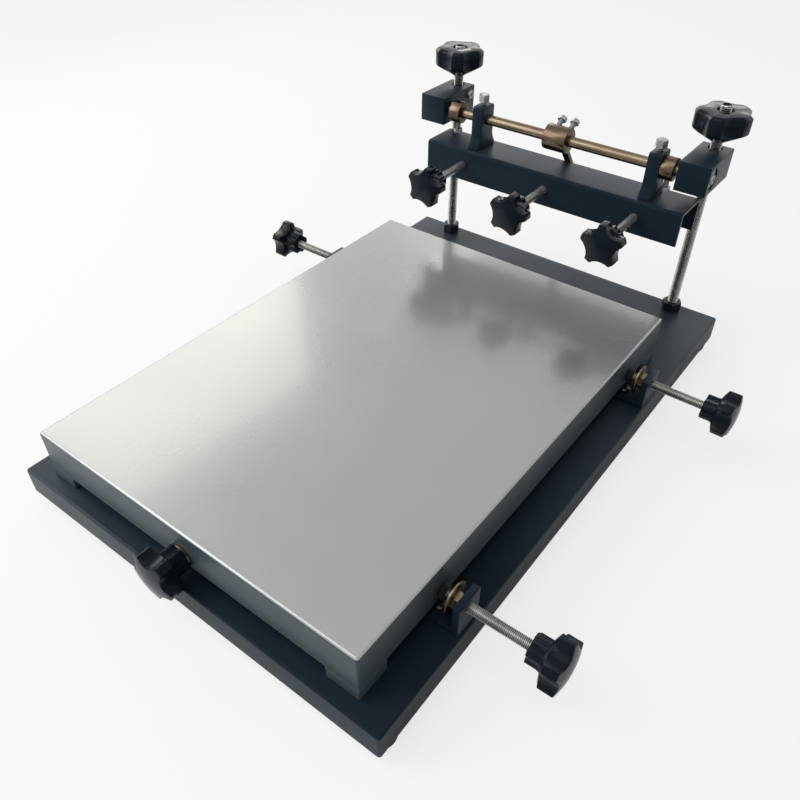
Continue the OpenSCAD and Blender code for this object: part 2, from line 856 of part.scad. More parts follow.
// Turned collar along Z with chamfered rims
module collar(d, length) {
    edge = d * 0.04;
    difference() {
        rotate_extrude() polygon([
            [shaft_d / 2 + run_gap, 0],
            [d / 2 - edge, 0],
            [d / 2, edge],
            [d / 2, length - edge],
            [d / 2 - edge, length],
            [shaft_d / 2 + run_gap, length]
        ]);
        children();
    }
}

// Collars at the left block and at the right upright
module end_collars() {
    color([0.80, 0.68, 0.38]) in_frame() for (x = [left_collar_x, right_collar_x])
        on_shaft(x) collar(collar_d, collar_l)
            translate([0, 0, collar_l / 2]) rotate([0, 90, 0])
                cylinder(h = collar_d, d = collar_screw_d + 2 * run_gap, $fn = small_fn);
}

// Set screws under the end collars
module collar_screws() {
    proud = collar_d * 0.3;
    head = collar_screw_d * 0.8;
    flats = collar_screw_d * 1.6;
    color([0.78, 0.79, 0.80]) in_frame() for (x = [left_collar_x, right_collar_x])
        on_shaft(x) translate([0, 0, collar_l / 2]) rotate([0, 90, 0])
            translate([0, 0, collar_d / 2 + proud])
                hex_screw(collar_screw_d, collar_d / 2 + proud - shaft_d / 2 - 2 * run_gap, flats, head);
}

// Frames of the two stop collar screws: Z runs out of the collar, leaning back from the top
module stop_screw_places() {
    for (s = [-1, 1]) translate([stop_x + s * stop_l * stop_screw_share, shaft_y, shaft_z])
        rotate([-stop_screw_lean, 0, 0]) children();
}

// Frame of the stop bar: Z runs back and down
module on_stop() {
    translate([stop_x + stop_bar_x, shaft_y, shaft_z]) rotate([-90 - stop_angle, 0, 0]) children();
}

// Middle collar that carries the stop bar
module stop_collar() {
    color([0.80, 0.68, 0.38]) in_frame() difference() {
        on_shaft(stop_x - stop_l / 2) collar(stop_d, stop_l);
        stop_screw_places() cylinder(h = stop_d, d = collar_screw_d + 2 * run_gap, $fn = small_fn);
        on_stop() translate([-stop_bar_w / 2 - run_gap, -stop_bar_t / 2 - run_gap, 0])
            cube([stop_bar_w + 2 * run_gap, stop_bar_t + 2 * run_gap, stop_d]);
    }
}

// Flat bar against which the clamp channel rests when the frame is level
module stop_rod() {
    low = shaft_d / 2 + slide_gap;
    color([0.80, 0.68, 0.38]) in_frame() on_stop() translate([-stop_bar_w / 2, -stop_bar_t / 2, low])
        cube([stop_bar_w, stop_bar_t, stop_reach - low]);
}

// Screws of the stop collar
module stop_collar_screws() {
    proud = stop_d * 0.3;
    head = collar_screw_d * 0.8;
    flats = collar_screw_d * 1.6;
    color([0.78, 0.79, 0.80]) in_frame() stop_screw_places() translate([0, 0, stop_d / 2 + proud])
        hex_screw(collar_screw_d, stop_d / 2 + proud - shaft_d / 2 - 2 * run_gap, flats, head);
}

// Outline of the clamp channel, open downwards
module channel_outline() {
    difference() {
        tray_profile(beam_d, beam_h, beam_bend);
        translate([0, -over]) tray_profile(beam_d - 2 * beam_t, beam_h - beam_t + over, beam_bend - beam_t);
    }
}

// Clamp channel, an inverted U that takes the rear tube of a stencil frame
module clamp_beam() {
    color([0.10, 0.11, 0.12]) in_frame() difference() {
        translate([clamp_shift - beam_l / 2, beam_front + beam_d / 2, beam_top - beam_h]) rotate([90, 0, 90])
            linear_extrude(beam_l) channel_outline();
        clamp_places() translate([0, 0, -beam_t - over])
            cylinder(h = beam_t + 2 * over, d = screw_d + 2 * run_gap, $fn = small_fn);
    }
}

// Places of the three clamp screws along X
clamp_screws_x = [clamp_shift - clamp_pitch, clamp_shift, clamp_shift + clamp_pitch];

// Frames of the three clamp screws
module clamp_places() {
    for (across = clamp_screws_x) on_clamp(across) children();
}

// Side outline of an upright: Y across, Z up from its foot
module upright_outline() {
    tall = beam_drop + upright_top;
    polygon([
        [-upright_foot_d / 2, 0],
        [upright_foot_d / 2, 0],
        [upright_foot_d / 2, tall * 0.06],
        [upright_d / 2, tall * 0.3],
        [upright_d / 2, tall * 0.95],
        [upright_d * 0.42, tall],
        [-upright_d * 0.42, tall],
        [-upright_d / 2, tall * 0.95],
        [-upright_d / 2, tall * 0.3],
        [-upright_foot_d / 2, tall * 0.06]
    ]);
}

// Uprights welded on the channel, with the shaft through them
module hinge_uprights() {
    tall = beam_drop + upright_top;
    color([0.10, 0.11, 0.12]) in_frame() for (x = [left_upright_x, right_upright_x]) difference() {
        translate([x - upright_w / 2, shaft_y, beam_top]) rotate([90, 0, 90]) linear_extrude(upright_w)
            upright_outline();
        on_shaft(x - upright_w / 2 - over) cylinder(h = upright_w + 2 * over, d = shaft_d + 2 * run_gap);
        translate([x, shaft_y, shaft_z]) cylinder(h = tall, d = bolt_d + 2 * run_gap, $fn = small_fn);
    }
}

// Friction bolts on the shaft, each with its lock nut run up under the head
module friction_bolts() {
    nut = bolt_d * bolt_head_share;
    flats = bolt_d * bolt_flats_share;
    color([0.78, 0.79, 0.80]) in_frame() for (x = [left_upright_x, right_upright_x])
        translate([x, shaft_y, shaft_z + upright_top + bolt_lift]) {
            hex_nut(flats, nut, bolt_d + 2 * run_gap);
            translate([0, 0, nut])
                hex_screw(bolt_d, nut + bolt_lift + upright_top - shaft_d / 2 - slide_gap, flats, nut);
        }
}

// Nuts welded inside the channel's front wall
module weld_nuts() {
    color([0.75, 0.75, 0.76]) in_frame() clamp_places() translate([0, 0, -beam_t - weld_nut_h])
        hex_nut(nut_af, weld_nut_h, screw_d + 2 * run_gap);
}

// Pressing pad on the tip of a clamp screw
module clamp_pad(across) {
    seat = pad_t * pad_seat_share;
    color([0.20, 0.20, 0.21]) in_frame() on_clamp(across) translate([0, 0, -pad_in - pad_t]) difference() {
        rotate_extrude() polygon([
            [0, 0],
            [pad_d * 0.46, 0],
            [pad_d * 0.5, pad_t * 0.12],
            [pad_d * 0.5, pad_t * 0.5],
            [pad_d * 0.38, pad_t],
            [0, pad_t]
        ]);
        translate([0, 0, pad_t - seat]) cylinder(h = seat + over, d = screw_d + 2 * run_gap);
    }
}

// Clamp screw with its tip in the pad
module clamp_screw(across) {
    color([0.80, 0.81, 0.82]) in_frame() on_clamp(across)
        rod(screw_d, -pad_in - pad_t * pad_seat_share + slide_gap, clamp_reach + knob_socket - slide_gap);
}

// Clamp knob
module clamp_knob(across, turn) {
    color([0.05, 0.05, 0.06]) in_frame() on_clamp(across) translate([0, 0, clamp_reach])
        rotate([0, 0, turn]) screw_knob();
}

module left_clamp_pad() { clamp_pad(clamp_screws_x[0]); }
module left_clamp_screw() { clamp_screw(clamp_screws_x[0]); }
module left_clamp_knob() { clamp_knob(clamp_screws_x[0], left_clamp_knob_turn); }
module middle_clamp_pad() { clamp_pad(clamp_screws_x[1]); }
module middle_clamp_screw() { clamp_screw(clamp_screws_x[1]); }
module middle_clamp_knob() { clamp_knob(clamp_screws_x[1], middle_clamp_knob_turn); }
module right_clamp_pad() { clamp_pad(clamp_screws_x[2]); }
module right_clamp_screw() { clamp_screw(clamp_screws_x[2]); }
module right_clamp_knob() { clamp_knob(clamp_screws_x[2], right_clamp_knob_turn); }

base_tray();
rubber_feet();
foot_screws();
side_brackets();
front_bracket();
bracket_screws();
side_nuts();
side_washers();
front_washers();
front_screw();
front_knob();
front_nut();
work_platform();
platform_glides();
right_front_cap();
right_front_screw();
right_front_knob();
right_rear_cap();
right_rear_screw();
right_rear_knob();
left_rear_cap();
left_rear_screw();
left_rear_knob();
left_post();
left_post_nuts();
left_height_knob();
right_post();
right_post_nuts();
right_height_knob();
left_block();
right_block();
block_lock_screws();
shaft_end_screws();
hinge_shaft();
end_collars();
collar_screws();
stop_collar();
stop_rod();
stop_collar_screws();
clamp_beam();
hinge_uprights();
friction_bolts();
weld_nuts();
left_clamp_pad();
left_clamp_screw();
left_clamp_knob();
middle_clamp_pad();
middle_clamp_screw();
middle_clamp_knob();
right_clamp_pad();
right_clamp_screw();
right_clamp_knob();
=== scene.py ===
import json
import math
import bpy
import bmesh
from mathutils import Matrix, Vector


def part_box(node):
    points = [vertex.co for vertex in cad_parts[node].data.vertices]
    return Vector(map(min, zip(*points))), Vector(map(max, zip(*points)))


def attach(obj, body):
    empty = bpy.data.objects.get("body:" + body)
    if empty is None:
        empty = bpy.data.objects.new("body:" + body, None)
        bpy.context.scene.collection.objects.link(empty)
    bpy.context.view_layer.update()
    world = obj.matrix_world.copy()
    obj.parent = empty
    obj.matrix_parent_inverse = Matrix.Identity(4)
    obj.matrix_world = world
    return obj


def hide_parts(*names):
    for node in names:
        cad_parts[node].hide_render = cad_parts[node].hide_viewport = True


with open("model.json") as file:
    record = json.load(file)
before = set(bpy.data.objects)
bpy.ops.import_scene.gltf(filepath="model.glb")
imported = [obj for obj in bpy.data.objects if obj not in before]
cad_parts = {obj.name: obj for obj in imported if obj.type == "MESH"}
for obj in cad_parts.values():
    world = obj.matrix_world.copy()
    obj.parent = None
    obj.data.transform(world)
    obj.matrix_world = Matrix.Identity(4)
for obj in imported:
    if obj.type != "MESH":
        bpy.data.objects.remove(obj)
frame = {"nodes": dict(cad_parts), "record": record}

mm, perMetre = 0.001, 1000
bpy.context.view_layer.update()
nodes = frame["nodes"]
up, down = Vector((0, 0, 1)), Vector((0, 0, -1))
right, left = Vector((1, 0, 0)), Vector((-1, 0, 0))
front = Vector((0, -1, 0))


# Shader helpers

def addNode(tree, kind, where=(0, 0), inputs=None, **settings):
    made = tree.nodes.new(kind)
    made.location = where
    for name, value in settings.items():
        setattr(made, name, value)
    for label, value in (inputs or {}).items():
        made.inputs[label].default_value = value
    return made


def join(source, output, target, given):
    source.id_data.links.new(source.outputs[output], target.inputs[given])


def startGroup(name, inputs, outputs):
    tree = bpy.data.node_groups.new(name, "ShaderNodeTree")
    for label, kind, value in inputs:
        socket = tree.interface.new_socket(label, in_out="INPUT", socket_type=kind)
        socket.default_value = value
    for label, kind in outputs:
        tree.interface.new_socket(label, in_out="OUTPUT", socket_type=kind)
    return tree, addNode(tree, "NodeGroupInput", (-900, 0)), addNode(tree, "NodeGroupOutput", (900, 0))


floatIn, vectorIn = "NodeSocketFloat", "NodeSocketVector"


def buildPeelGroup():
    # sprayed paint: slow waves with fine pimples on them
    tree, given, out = startGroup(
        "sprayPeel",
        [("Wave Scale", floatIn, 300.0), ("Fine Scale", floatIn, 1400.0), ("Fine Share", floatIn, 0.3)],
        [("Height", floatIn), ("Patch", floatIn)])
    coords = addNode(tree, "ShaderNodeTexCoord", (-900, -200))
    wave = addNode(tree, "ShaderNodeTexNoise", (-500, 200), {"Detail": 2.0})
    fine = addNode(tree, "ShaderNodeTexNoise", (-500, -50), {"Detail": 3.0})
    patch = addNode(tree, "ShaderNodeTexNoise", (-500, -320), {"Scale": 9.0, "Detail": 4.0})
    mix = addNode(tree, "ShaderNodeMix", (0, 100), data_type="FLOAT")
    for noise in (wave, fine, patch):
        join(coords, "Object", noise, "Vector")
    join(given, "Wave Scale", wave, "Scale")
    join(given, "Fine Scale", fine, "Scale")
    join(given, "Fine Share", mix, "Factor")
    join(wave, "Fac", mix, "A")
    join(fine, "Fac", mix, "B")
    join(mix, "Result", out, "Height")
    join(patch, "Fac", out, "Patch")
    return tree


def buildEdgeGroup():
    # mask of the outer edges, broken up by noise; it lightens edges partly as wear, partly as a painted edge
    # highlight
    tree, given, out = startGroup(
        "edgeWearAndPaintedHighlight",
        [("Width", floatIn, 0.0006), ("Start", floatIn, 0.35), ("Patch Scale", floatIn, 90.0)],
        [("Mask", floatIn)])
    coords = addNode(tree, "ShaderNodeTexCoord", (-900, -250))
    soft = addNode(tree, "ShaderNodeBevel", (-650, 200), samples=6)
    plain = addNode(tree, "ShaderNodeNewGeometry", (-650, 0))
    dot = addNode(tree, "ShaderNodeVectorMath", (-400, 100), operation="DOT_PRODUCT")
    band = addNode(tree, "ShaderNodeMapRange", (-150, 100), {"From Min": 0.995, "From Max": 0.86})
    noise = addNode(tree, "ShaderNodeTexNoise", (-400, -250), {"Detail": 5.0})
    broken = addNode(tree, "ShaderNodeMapRange", (-150, -250), {"From Max": 0.7})
    both = addNode(tree, "ShaderNodeMath", (200, 0), operation="MULTIPLY", use_clamp=True)
    join(given, "Width", soft, "Radius")
    join(soft, "Normal", dot, 0)
    join(plain, "Normal", dot, 1)
    join(dot, "Value", band, "Value")
    join(coords, "Object", noise, "Vector")
    join(given, "Patch Scale", noise, "Scale")
    join(given, "Start", broken, "From Min")
    join(noise, "Fac", broken, "Value")
    join(band, "Result", both, 0)
    join(broken, "Result", both, 1)
    join(both, "Value", out, "Mask")
    return tree


def buildDustGroup():
    # fine dust that lies on faces that look up
    tree, given, out = startGroup(
        "settledDust",
        [("Amount", floatIn, 0.2), ("Speck Scale", floatIn, 900.0)],
        [("Mask", floatIn)])
    coords = addNode(tree, "ShaderNodeTexCoord", (-900, -250))
    plain = addNode(tree, "ShaderNodeNewGeometry", (-900, 100))
    split = addNode(tree, "ShaderNodeSeparateXYZ", (-650, 100))
    facing = addNode(tree, "ShaderNodeMapRange", (-400, 100), {"From Min": 0.3})
    cloud = addNode(tree, "ShaderNodeTexNoise", (-650, -150), {"Scale": 16.0, "Detail": 6.0})
    specks = addNode(tree, "ShaderNodeTexVoronoi", (-650, -400))
    speckBand = addNode(tree, "ShaderNodeMapRange", (-400, -400), {"From Min": 0.18, "From Max": 0.05})
    cloudBand = addNode(tree, "ShaderNodeMapRange", (-400, -150),
                        {"From Min": 0.4, "From Max": 0.75, "To Max": 0.6})
    added = addNode(tree, "ShaderNodeMath", (-100, -250), operation="ADD", use_clamp=True)
    lying = addNode(tree, "ShaderNodeMath", (150, 0), operation="MULTIPLY")
    scaled = addNode(tree, "ShaderNodeMath", (400, 0), operation="MULTIPLY", use_clamp=True)
    join(plain, "Normal", split, 0)
    join(split, "Z", facing, "Value")
    join(coords, "Object", cloud, "Vector")
    join(coords, "Object", specks, "Vector")
    join(given, "Speck Scale", specks, "Scale")
    join(cloud, "Fac", cloudBand, "Value")
    join(specks, "Distance", speckBand, "Value")
    join(cloudBand, "Result", added, 0)
    join(speckBand, "Result", added, 1)
    join(facing, "Result", lying, 0)
    join(added, "Value", lying, 1)
    join(lying, "Value", scaled, 0)
    join(given, "Amount", scaled, 1)
    join(scaled, "Value", out, "Mask")
    return tree


def buildStreakGroup():
    # drawn or turned metal: noise squeezed along one direction
    tree, given, out = startGroup(
        "metalStreak",
        [("Squeeze", vectorIn, (1.0, 1.0, 1.0)), ("Scale", floatIn, 120.0)],
        [("Streak", floatIn), ("Patch", floatIn)])
    coords = addNode(tree, "ShaderNodeTexCoord", (-900, 0))
    squeeze = addNode(tree, "ShaderNodeVectorMath", (-650, 0), operation="MULTIPLY")
    streak = addNode(tree, "ShaderNodeTexNoise", (-350, 100), {"Detail": 4.0})
    patch = addNode(tree, "ShaderNodeTexNoise", (-350, -200), {"Scale": 45.0, "Detail": 5.0})
    join(coords, "Object", squeeze, 0)
    join(given, "Squeeze", squeeze, 1)
    join(squeeze, "Vector", streak, "Vector")
    join(given, "Scale", streak, "Scale")
    join(coords, "Object", patch, "Vector")
    join(streak, "Fac", out, "Streak")
    join(patch, "Fac", out, "Patch")
    return tree


peelGroup = buildPeelGroup()
edgeWearHighlightGroup = buildEdgeGroup()
dustGroup = buildDustGroup()
streakGroup = buildStreakGroup()


def useGroup(tree, group, where, **values):
    return addNode(tree, "ShaderNodeGroup", where, {label.replace("_", " "): value
                                                    for label, value in values.items()}, node_tree=group)


def newMaterial(name, **sockets):
    material = bpy.data.materials.new(name)
    material.use_nodes = True
    tree = material.node_tree
    shader = tree.nodes["Principled BSDF"]
    for label, value in sockets.items():
        shader.inputs[label.replace("_", " ")].default_value = value
    return material, tree, shader


def ramp(tree, source, stops, where):
    made = addNode(tree, "ShaderNodeValToRGB", where)
    points = made.color_ramp.elements
    while len(points) < len(stops):
        points.new(0.5)
    for point, (place, color) in zip(points, stops):
        point.position = place
        point.color = (*color, 1.0)
    tree.links.new(source, made.inputs["Fac"])
    return made.outputs["Color"]


def spread(tree, source, lowIn, highIn, lowOut, highOut, where):
    made = addNode(tree, "ShaderNodeMapRange", where,
                   {"From Min": lowIn, "From Max": highIn, "To Min": lowOut, "To Max": highOut})
    tree.links.new(source, made.inputs["Value"])
    return made.outputs["Result"]


def blendColor(tree, mask, first, second, where):
    made = addNode(tree, "ShaderNodeMix", where, data_type="RGBA")
    tree.links.new(mask, made.inputs["Factor"])
    for value, socket in ((first, made.inputs[6]), (second, made.inputs[7])):
        if isinstance(value, tuple):
            socket.default_value = (*value, 1.0)
        else:
            tree.links.new(value, socket)
    return made.outputs[2]


def bumpInto(tree, shader, height, strength, distance, where):
    made = addNode(tree, "ShaderNodeBump", where, {"Strength": strength, "Distance": distance})
    tree.links.new(height, made.inputs["Height"])
    join(made, "Normal", shader, "Normal")


def flatSheen(tree, shader, headOn, glancing):
    # skins that shine less when seen head-on than at flat angles
    facing = addNode(tree, "ShaderNodeLayerWeight", (-900, 400))
    tree.links.new(spread(tree, facing.outputs["Facing"], 0.15, 0.5, headOn, glancing, (-600, 400)),
                   shader.inputs["Specular IOR Level"])


def mottledSkin(tree, shader, colors, roughness, waves, bump):
    # patchy roughness and fine relief of a painted or moulded skin; hands back its mottled colour
    skin = useGroup(tree, peelGroup, (-900, 0), Wave_Scale=waves[0], Fine_Scale=waves[1], Fine_Share=waves[2])
    tree.links.new(spread(tree, skin.outputs["Patch"], 0.3, 0.7, *roughness, (-300, -150)),
                   shader.inputs["Roughness"])
    bumpInto(tree, shader, skin.outputs["Height"], *bump, (-200, -350))
    return blendColor(tree, skin.outputs["Patch"], *colors, (-600, 150))


def powderCoat(name, colors, rough, dust, peel=0.35):
    material, tree, shader = newMaterial(name)
    flatSheen(tree, shader, 0.03, 0.34)
    mottled = mottledSkin(tree, shader, colors, (rough - 0.05, rough + 0.07), (420.0, 2600.0, 0.45),
                          (peel, 0.0002))
    rubAndHighlight = useGroup(tree, edgeWearHighlightGroup, (-900, -250), Width=0.0007, Start=0.42, Patch_Scale=70.0)
    lying = useGroup(tree, dustGroup, (-900, -500), Amount=dust, Speck_Scale=700.0)
    # lighter edges: partly rubbed wear, partly a painted highlight along the edges
    rubbedAndHighlit = blendColor(tree, rubAndHighlight.outputs["Mask"], mottled, (0.16, 0.17, 0.18), (-400, 100))
    dusty = blendColor(tree, lying.outputs["Mask"], rubbedAndHighlit, (0.32, 0.31, 0.29), (-200, 100))
    tree.links.new(dusty, shader.inputs["Base Color"])
    return material


def glossPaint(name, colors, rough, dust, metallic, coat, headOn):
    material, tree, shader = newMaterial(name, Coat_Roughness=0.13, Coat_IOR=1.5, Coat_Weight=coat,
                                         Metallic=metallic)
    flatSheen(tree, shader, headOn, 0.4)
    mottled = mottledSkin(tree, shader, colors, (rough - 0.03, rough + 0.05), (260.0, 900.0, 0.2),
                          (0.34, 0.0002))
    lying = useGroup(tree, dustGroup, (-900, -500), Amount=dust, Speck_Scale=420.0)
    dusty = blendColor(tree, lying.outputs["Mask"], mottled, (0.60, 0.59, 0.57), (-200, 100))
    tree.links.new(dusty, shader.inputs["Base Color"])
    tree.links.new(shader.inputs["Normal"].links[0].from_socket, shader.inputs["Coat Normal"])
    return material


def platedMetal(name, stops, rough, metallic=1.0, squeeze=(1, 1, 1)):
    material, tree, shader = newMaterial(name, Metallic=metallic)
    metal = useGroup(tree, streakGroup, (-900, 0), Squeeze=squeeze, Scale=160.0)
    tree.links.new(ramp(tree, metal.outputs["Patch"], stops, (-650, 150)), shader.inputs["Base Color"])
    tree.links.new(spread(tree, metal.outputs["Streak"], 0.3, 0.7, rough - 0.07, rough + 0.09, (-350, -150)),
                   shader.inputs["Roughness"])
    bumpInto(tree, shader, metal.outputs["Streak"], 0.12, 0.0001, (-200, -350))
    return material


def mouldedPlastic(name, colors, rough, peel):
    material, tree, shader = newMaterial(name)
    flatSheen(tree, shader, 0.06, 0.30)
    mottled = mottledSkin(tree, shader, colors, (rough - 0.05, rough + 0.06), (500.0, 3200.0, 0.4),
                          (peel, 0.0001))
    rubAndHighlight = useGroup(tree, edgeWearHighlightGroup, (-900, -250), Width=0.0005, Start=0.45, Patch_Scale=120.0)
    # lighter edges: partly rubbed wear, partly a painted highlight along the edges
    rubbedAndHighlit = blendColor(tree, rubAndHighlight.outputs["Mask"], mottled, (0.12, 0.13, 0.14), (-400, 100))
    tree.links.new(rubbedAndHighlit, shader.inputs["Base Color"])
    return material


alongRod = (0.15, 1.0, 1.0)
finishes = {
    "blackCoat": powderCoat("blackPowderCoat", ((0.010, 0.019, 0.029), (0.013, 0.024, 0.035)), 0.40, 0.02),
    "topPaint": glossPaint(
        "lightGreyPaint", ((0.33, 0.34, 0.335), (0.36, 0.37, 0.365)), 0.28, 0.0, 0.5, 1.0, 0.4),
    # the skirt finish is a darker copy of the top's grey paint: painted shade for the sides and glides
    "skirtPaint": glossPaint(
        "greyPaintShadedCopy", ((0.050, 0.066, 0.076), (0.060, 0.077, 0.088)), 0.36, 0.03, 0.0, 0.04, 0.05),
    "knobPlastic": mouldedPlastic(
        "blackKnobPlastic", ((0.005, 0.009, 0.014), (0.007, 0.012, 0.018)), 0.12, 0.04),
    "nylon": mouldedPlastic("blackNylon", ((0.018, 0.018, 0.018), (0.028, 0.028, 0.028)), 0.5, 0.3),
    "rubber": mouldedPlastic("blackRubber", ((0.014, 0.014, 0.014), (0.022, 0.022, 0.022)), 0.7, 0.5),
    "zinc": platedMetal("brightZinc", [(0.3, (0.30, 0.31, 0.29)), (0.7, (0.44, 0.45, 0.42))], 0.24, 0.9),
    # dark zinc for nuts and bracket screws, also used as painted shade in thread roots
    "dullZinc": platedMetal("zincDarkAndGrooveShade", [(0.3, (0.035, 0.042, 0.046)), (0.7, (0.058, 0.068, 0.072))], 0.34),
    "yellowZinc": platedMetal(
        "yellowZinc",
        [(0.25, (0.12, 0.085, 0.060)), (0.45, (0.18, 0.14, 0.085)),
         (0.60, (0.16, 0.11, 0.08)), (0.8, (0.25, 0.21, 0.13))], 0.24, 1.0, alongRod),
    "collarZinc": platedMetal(
        "collarZinc",
        [(0.25, (0.075, 0.050, 0.036)), (0.45, (0.12, 0.085, 0.055)),
         (0.60, (0.105, 0.068, 0.050)), (0.8, (0.17, 0.135, 0.09))], 0.24, 1.0, alongRod),
    "chrome": platedMetal("chromePlate", [(0.3, (0.30, 0.31, 0.31)), (0.7, (0.42, 0.43, 0.43))], 0.26, 0.62),
}
print("materials ready:", len(finishes))

slotFinish = {
    "black_steel": "blackCoat", "grey_steel": "topPaint", "glide_steel": "skirtPaint",
    "black_plastic": "knobPlastic", "black_nylon": "nylon", "rubber": "rubber",
    "zinc_steel": "zinc", "yellow_zinc": "yellowZinc", "chrome_steel": "chrome",
}
for part in frame["record"]["subparts"]:
    mesh = nodes[part["node"]].data
    mesh.materials.clear()
    mesh.materials.append(finishes[slotFinish[part["material_slot"]]])
nodes["bracket_screws"].data.materials[0] = finishes["dullZinc"]


# Mesh helpers, all in millimetres until a piece is finished

def boxMm(node):
    low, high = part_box(node)
    return low * perMetre, high * perMetre


def middleMm(node):
    low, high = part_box(node)
    return (low + high) / 2 * perMetre


def innerEnd(box, way, axis):
    # point of the axis at the box's end that lies against the direction
    corner = box[0] if sum(way) > 0 else box[1]
    return axis + way * (corner - axis).dot(way)


def addPart(whole, part, place):
    part.transform(place)
    store = bpy.data.meshes.new("store")
    part.to_mesh(store)
    part.free()
    whole.from_mesh(store)
    bpy.data.meshes.remove(store)


def takeIn(whole, part, place=Matrix.Identity(4)):
    # cleans one closed part and adds it to a piece
    bmesh.ops.remove_doubles(part, verts=part.verts[:], dist=0.002)
    bmesh.ops.recalc_face_normals(part, faces=part.faces[:])
    addPart(whole, part, place)


def finishPiece(name, whole, finish, body, slot, replaced, sharpAbove=33):
    for face in whole.faces:
        face.smooth = True
    for edge in whole.edges:
        edge.smooth = len(edge.link_faces) == 2 and edge.calc_face_angle(0) < math.radians(sharpAbove)
    whole.transform(Matrix.Scale(mm, 4))
    mesh = bpy.data.meshes.new(name)
    whole.to_mesh(mesh)
    whole.free()
    piece = bpy.data.objects.new(name, mesh)
    bpy.context.scene.collection.objects.link(piece)
    for each in (finish if isinstance(finish, list) else [finish]):
        mesh.materials.append(finishes[each])
    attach(piece, body)
    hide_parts(replaced)


def singlePiece(name, part, place, *about):
    whole = bmesh.new()
    takeIn(whole, part, place)
    finishPiece(name, whole, *about)


def aim(origin, direction, turn=0.0):
    # lays local Z along the direction
    direction = Vector(direction)
    if abs(direction.z) > 0.9:
        base = Matrix.Identity(4) if direction.z > 0 else Matrix.Rotation(math.pi, 4, "X")
    elif abs(direction.x) > 0.9:
        base = Matrix.Rotation(math.copysign(math.pi / 2, direction.x), 4, "Y")
    else:
        base = Matrix.Rotation(math.copysign(math.pi / 2, -direction.y), 4, "X")
    return Matrix.Translation(origin) @ base @ Matrix.Rotation(math.radians(turn), 4, "Z")


def vertsOf(made):
    return [item for item in made["geom"] if isinstance(item, bmesh.types.BMVert)]


def block(low, high):
    part = bmesh.new()
    size = Vector(high) - Vector(low)
    place = Matrix.Translation((Vector(low) + Vector(high)) / 2) @ Matrix.Diagonal((*size, 1.0))
    bmesh.ops.create_cube(part, size=1.0, matrix=place)
    return part


def softenEdges(part, offset, steps=3, above=50):
    bmesh.ops.recalc_face_normals(part, faces=part.faces[:])
    picked = [edge for edge in part.edges if len(edge.link_faces) == 2
              and edge.calc_face_angle(0) > math.radians(above)]
    bmesh.ops.bevel(part, geom=picked, affect="EDGES", offset=offset, segments=steps, profile=0.5,
                    material=-1, clamp_overlap=True)


def foldedShell(low, high, bend, steps, openEnds=False):
    # box without its bottom, and without its ends where asked, its edges bent round
    shell = block(low, high)
    gone = [face for face in shell.faces if face.normal.z < -0.9 or (openEnds and abs(face.normal.x) > 0.9)]
    bmesh.ops.delete(shell, geom=gone, context="FACES_ONLY")
    softenEdges(shell, bend, steps)
    return shell


def thicken(shell, sheet):
    bmesh.ops.recalc_face_normals(shell, faces=shell.faces[:])
    if max(shell.faces, key=lambda face: face.calc_center_median().z).normal.z < 0:
        bmesh.ops.reverse_faces(shell, faces=shell.faces[:])
    bmesh.ops.solidify(shell, geom=shell.faces[:], thickness=sheet)
    return shell


def lathe(profile, segments=64, closed=True):
    # turns a chain of (radius, height) points about Z
    part = bmesh.new()
    points = [part.verts.new((radius, 0, height)) for radius, height in profile]
    pairs = list(zip(points, points[1:])) + ([(points[-1], points[0])] if closed else [])
    edges = [part.edges.new(pair) for pair in pairs]
    bmesh.ops.spin(part, geom=points + edges, cent=(0, 0, 0), axis=(0, 0, 1), angle=math.tau, steps=segments,
                   use_merge=True)
    bmesh.ops.remove_doubles(part, verts=part.verts[:], dist=0.002)
    return part


def washer(bore, radius, tall, slope, edge=0.25, segments=84):
    return lathe([(bore, 0), (radius - slope, 0), (radius, edge), (radius, tall - edge),
                  (radius - slope, tall), (bore, tall)], segments)


def ringOf(part, angles, height, radiusAt):
    # the angles are a list, or the number of even steps; the radius is a number or follows the angle
    if not isinstance(angles, list):
        angles = [math.tau * step / angles for step in range(angles)]
    made = bmesh.ops.create_circle(part, cap_ends=False, segments=len(angles), radius=1.0)
    for vert, angle in zip(made["verts"], angles):
        radius = radiusAt(angle) if callable(radiusAt) else radiusAt
        tall = height(radius) if callable(height) else height
        vert.co = Vector((radius * math.cos(angle), radius * math.sin(angle), tall))
    return list({edge for vert in made["verts"] for edge in vert.link_edges})


def loft(part, rings):
    for lower, upper in zip(rings, rings[1:]):
        bmesh.ops.bridge_loops(part, edges=lower + upper)


def ringLoft(angles, shape, closed=False):
    # skins one ring for each (height, radius), back to the first ring or with both ends filled
    part = bmesh.new()
    rings = [ringOf(part, angles, *each) for each in shape]
    loft(part, rings + rings[:1] if closed else rings)
    for end in (() if closed else (rings[0], rings[-1])):
        bmesh.ops.holes_fill(part, edges=end, sides=0)
    return part


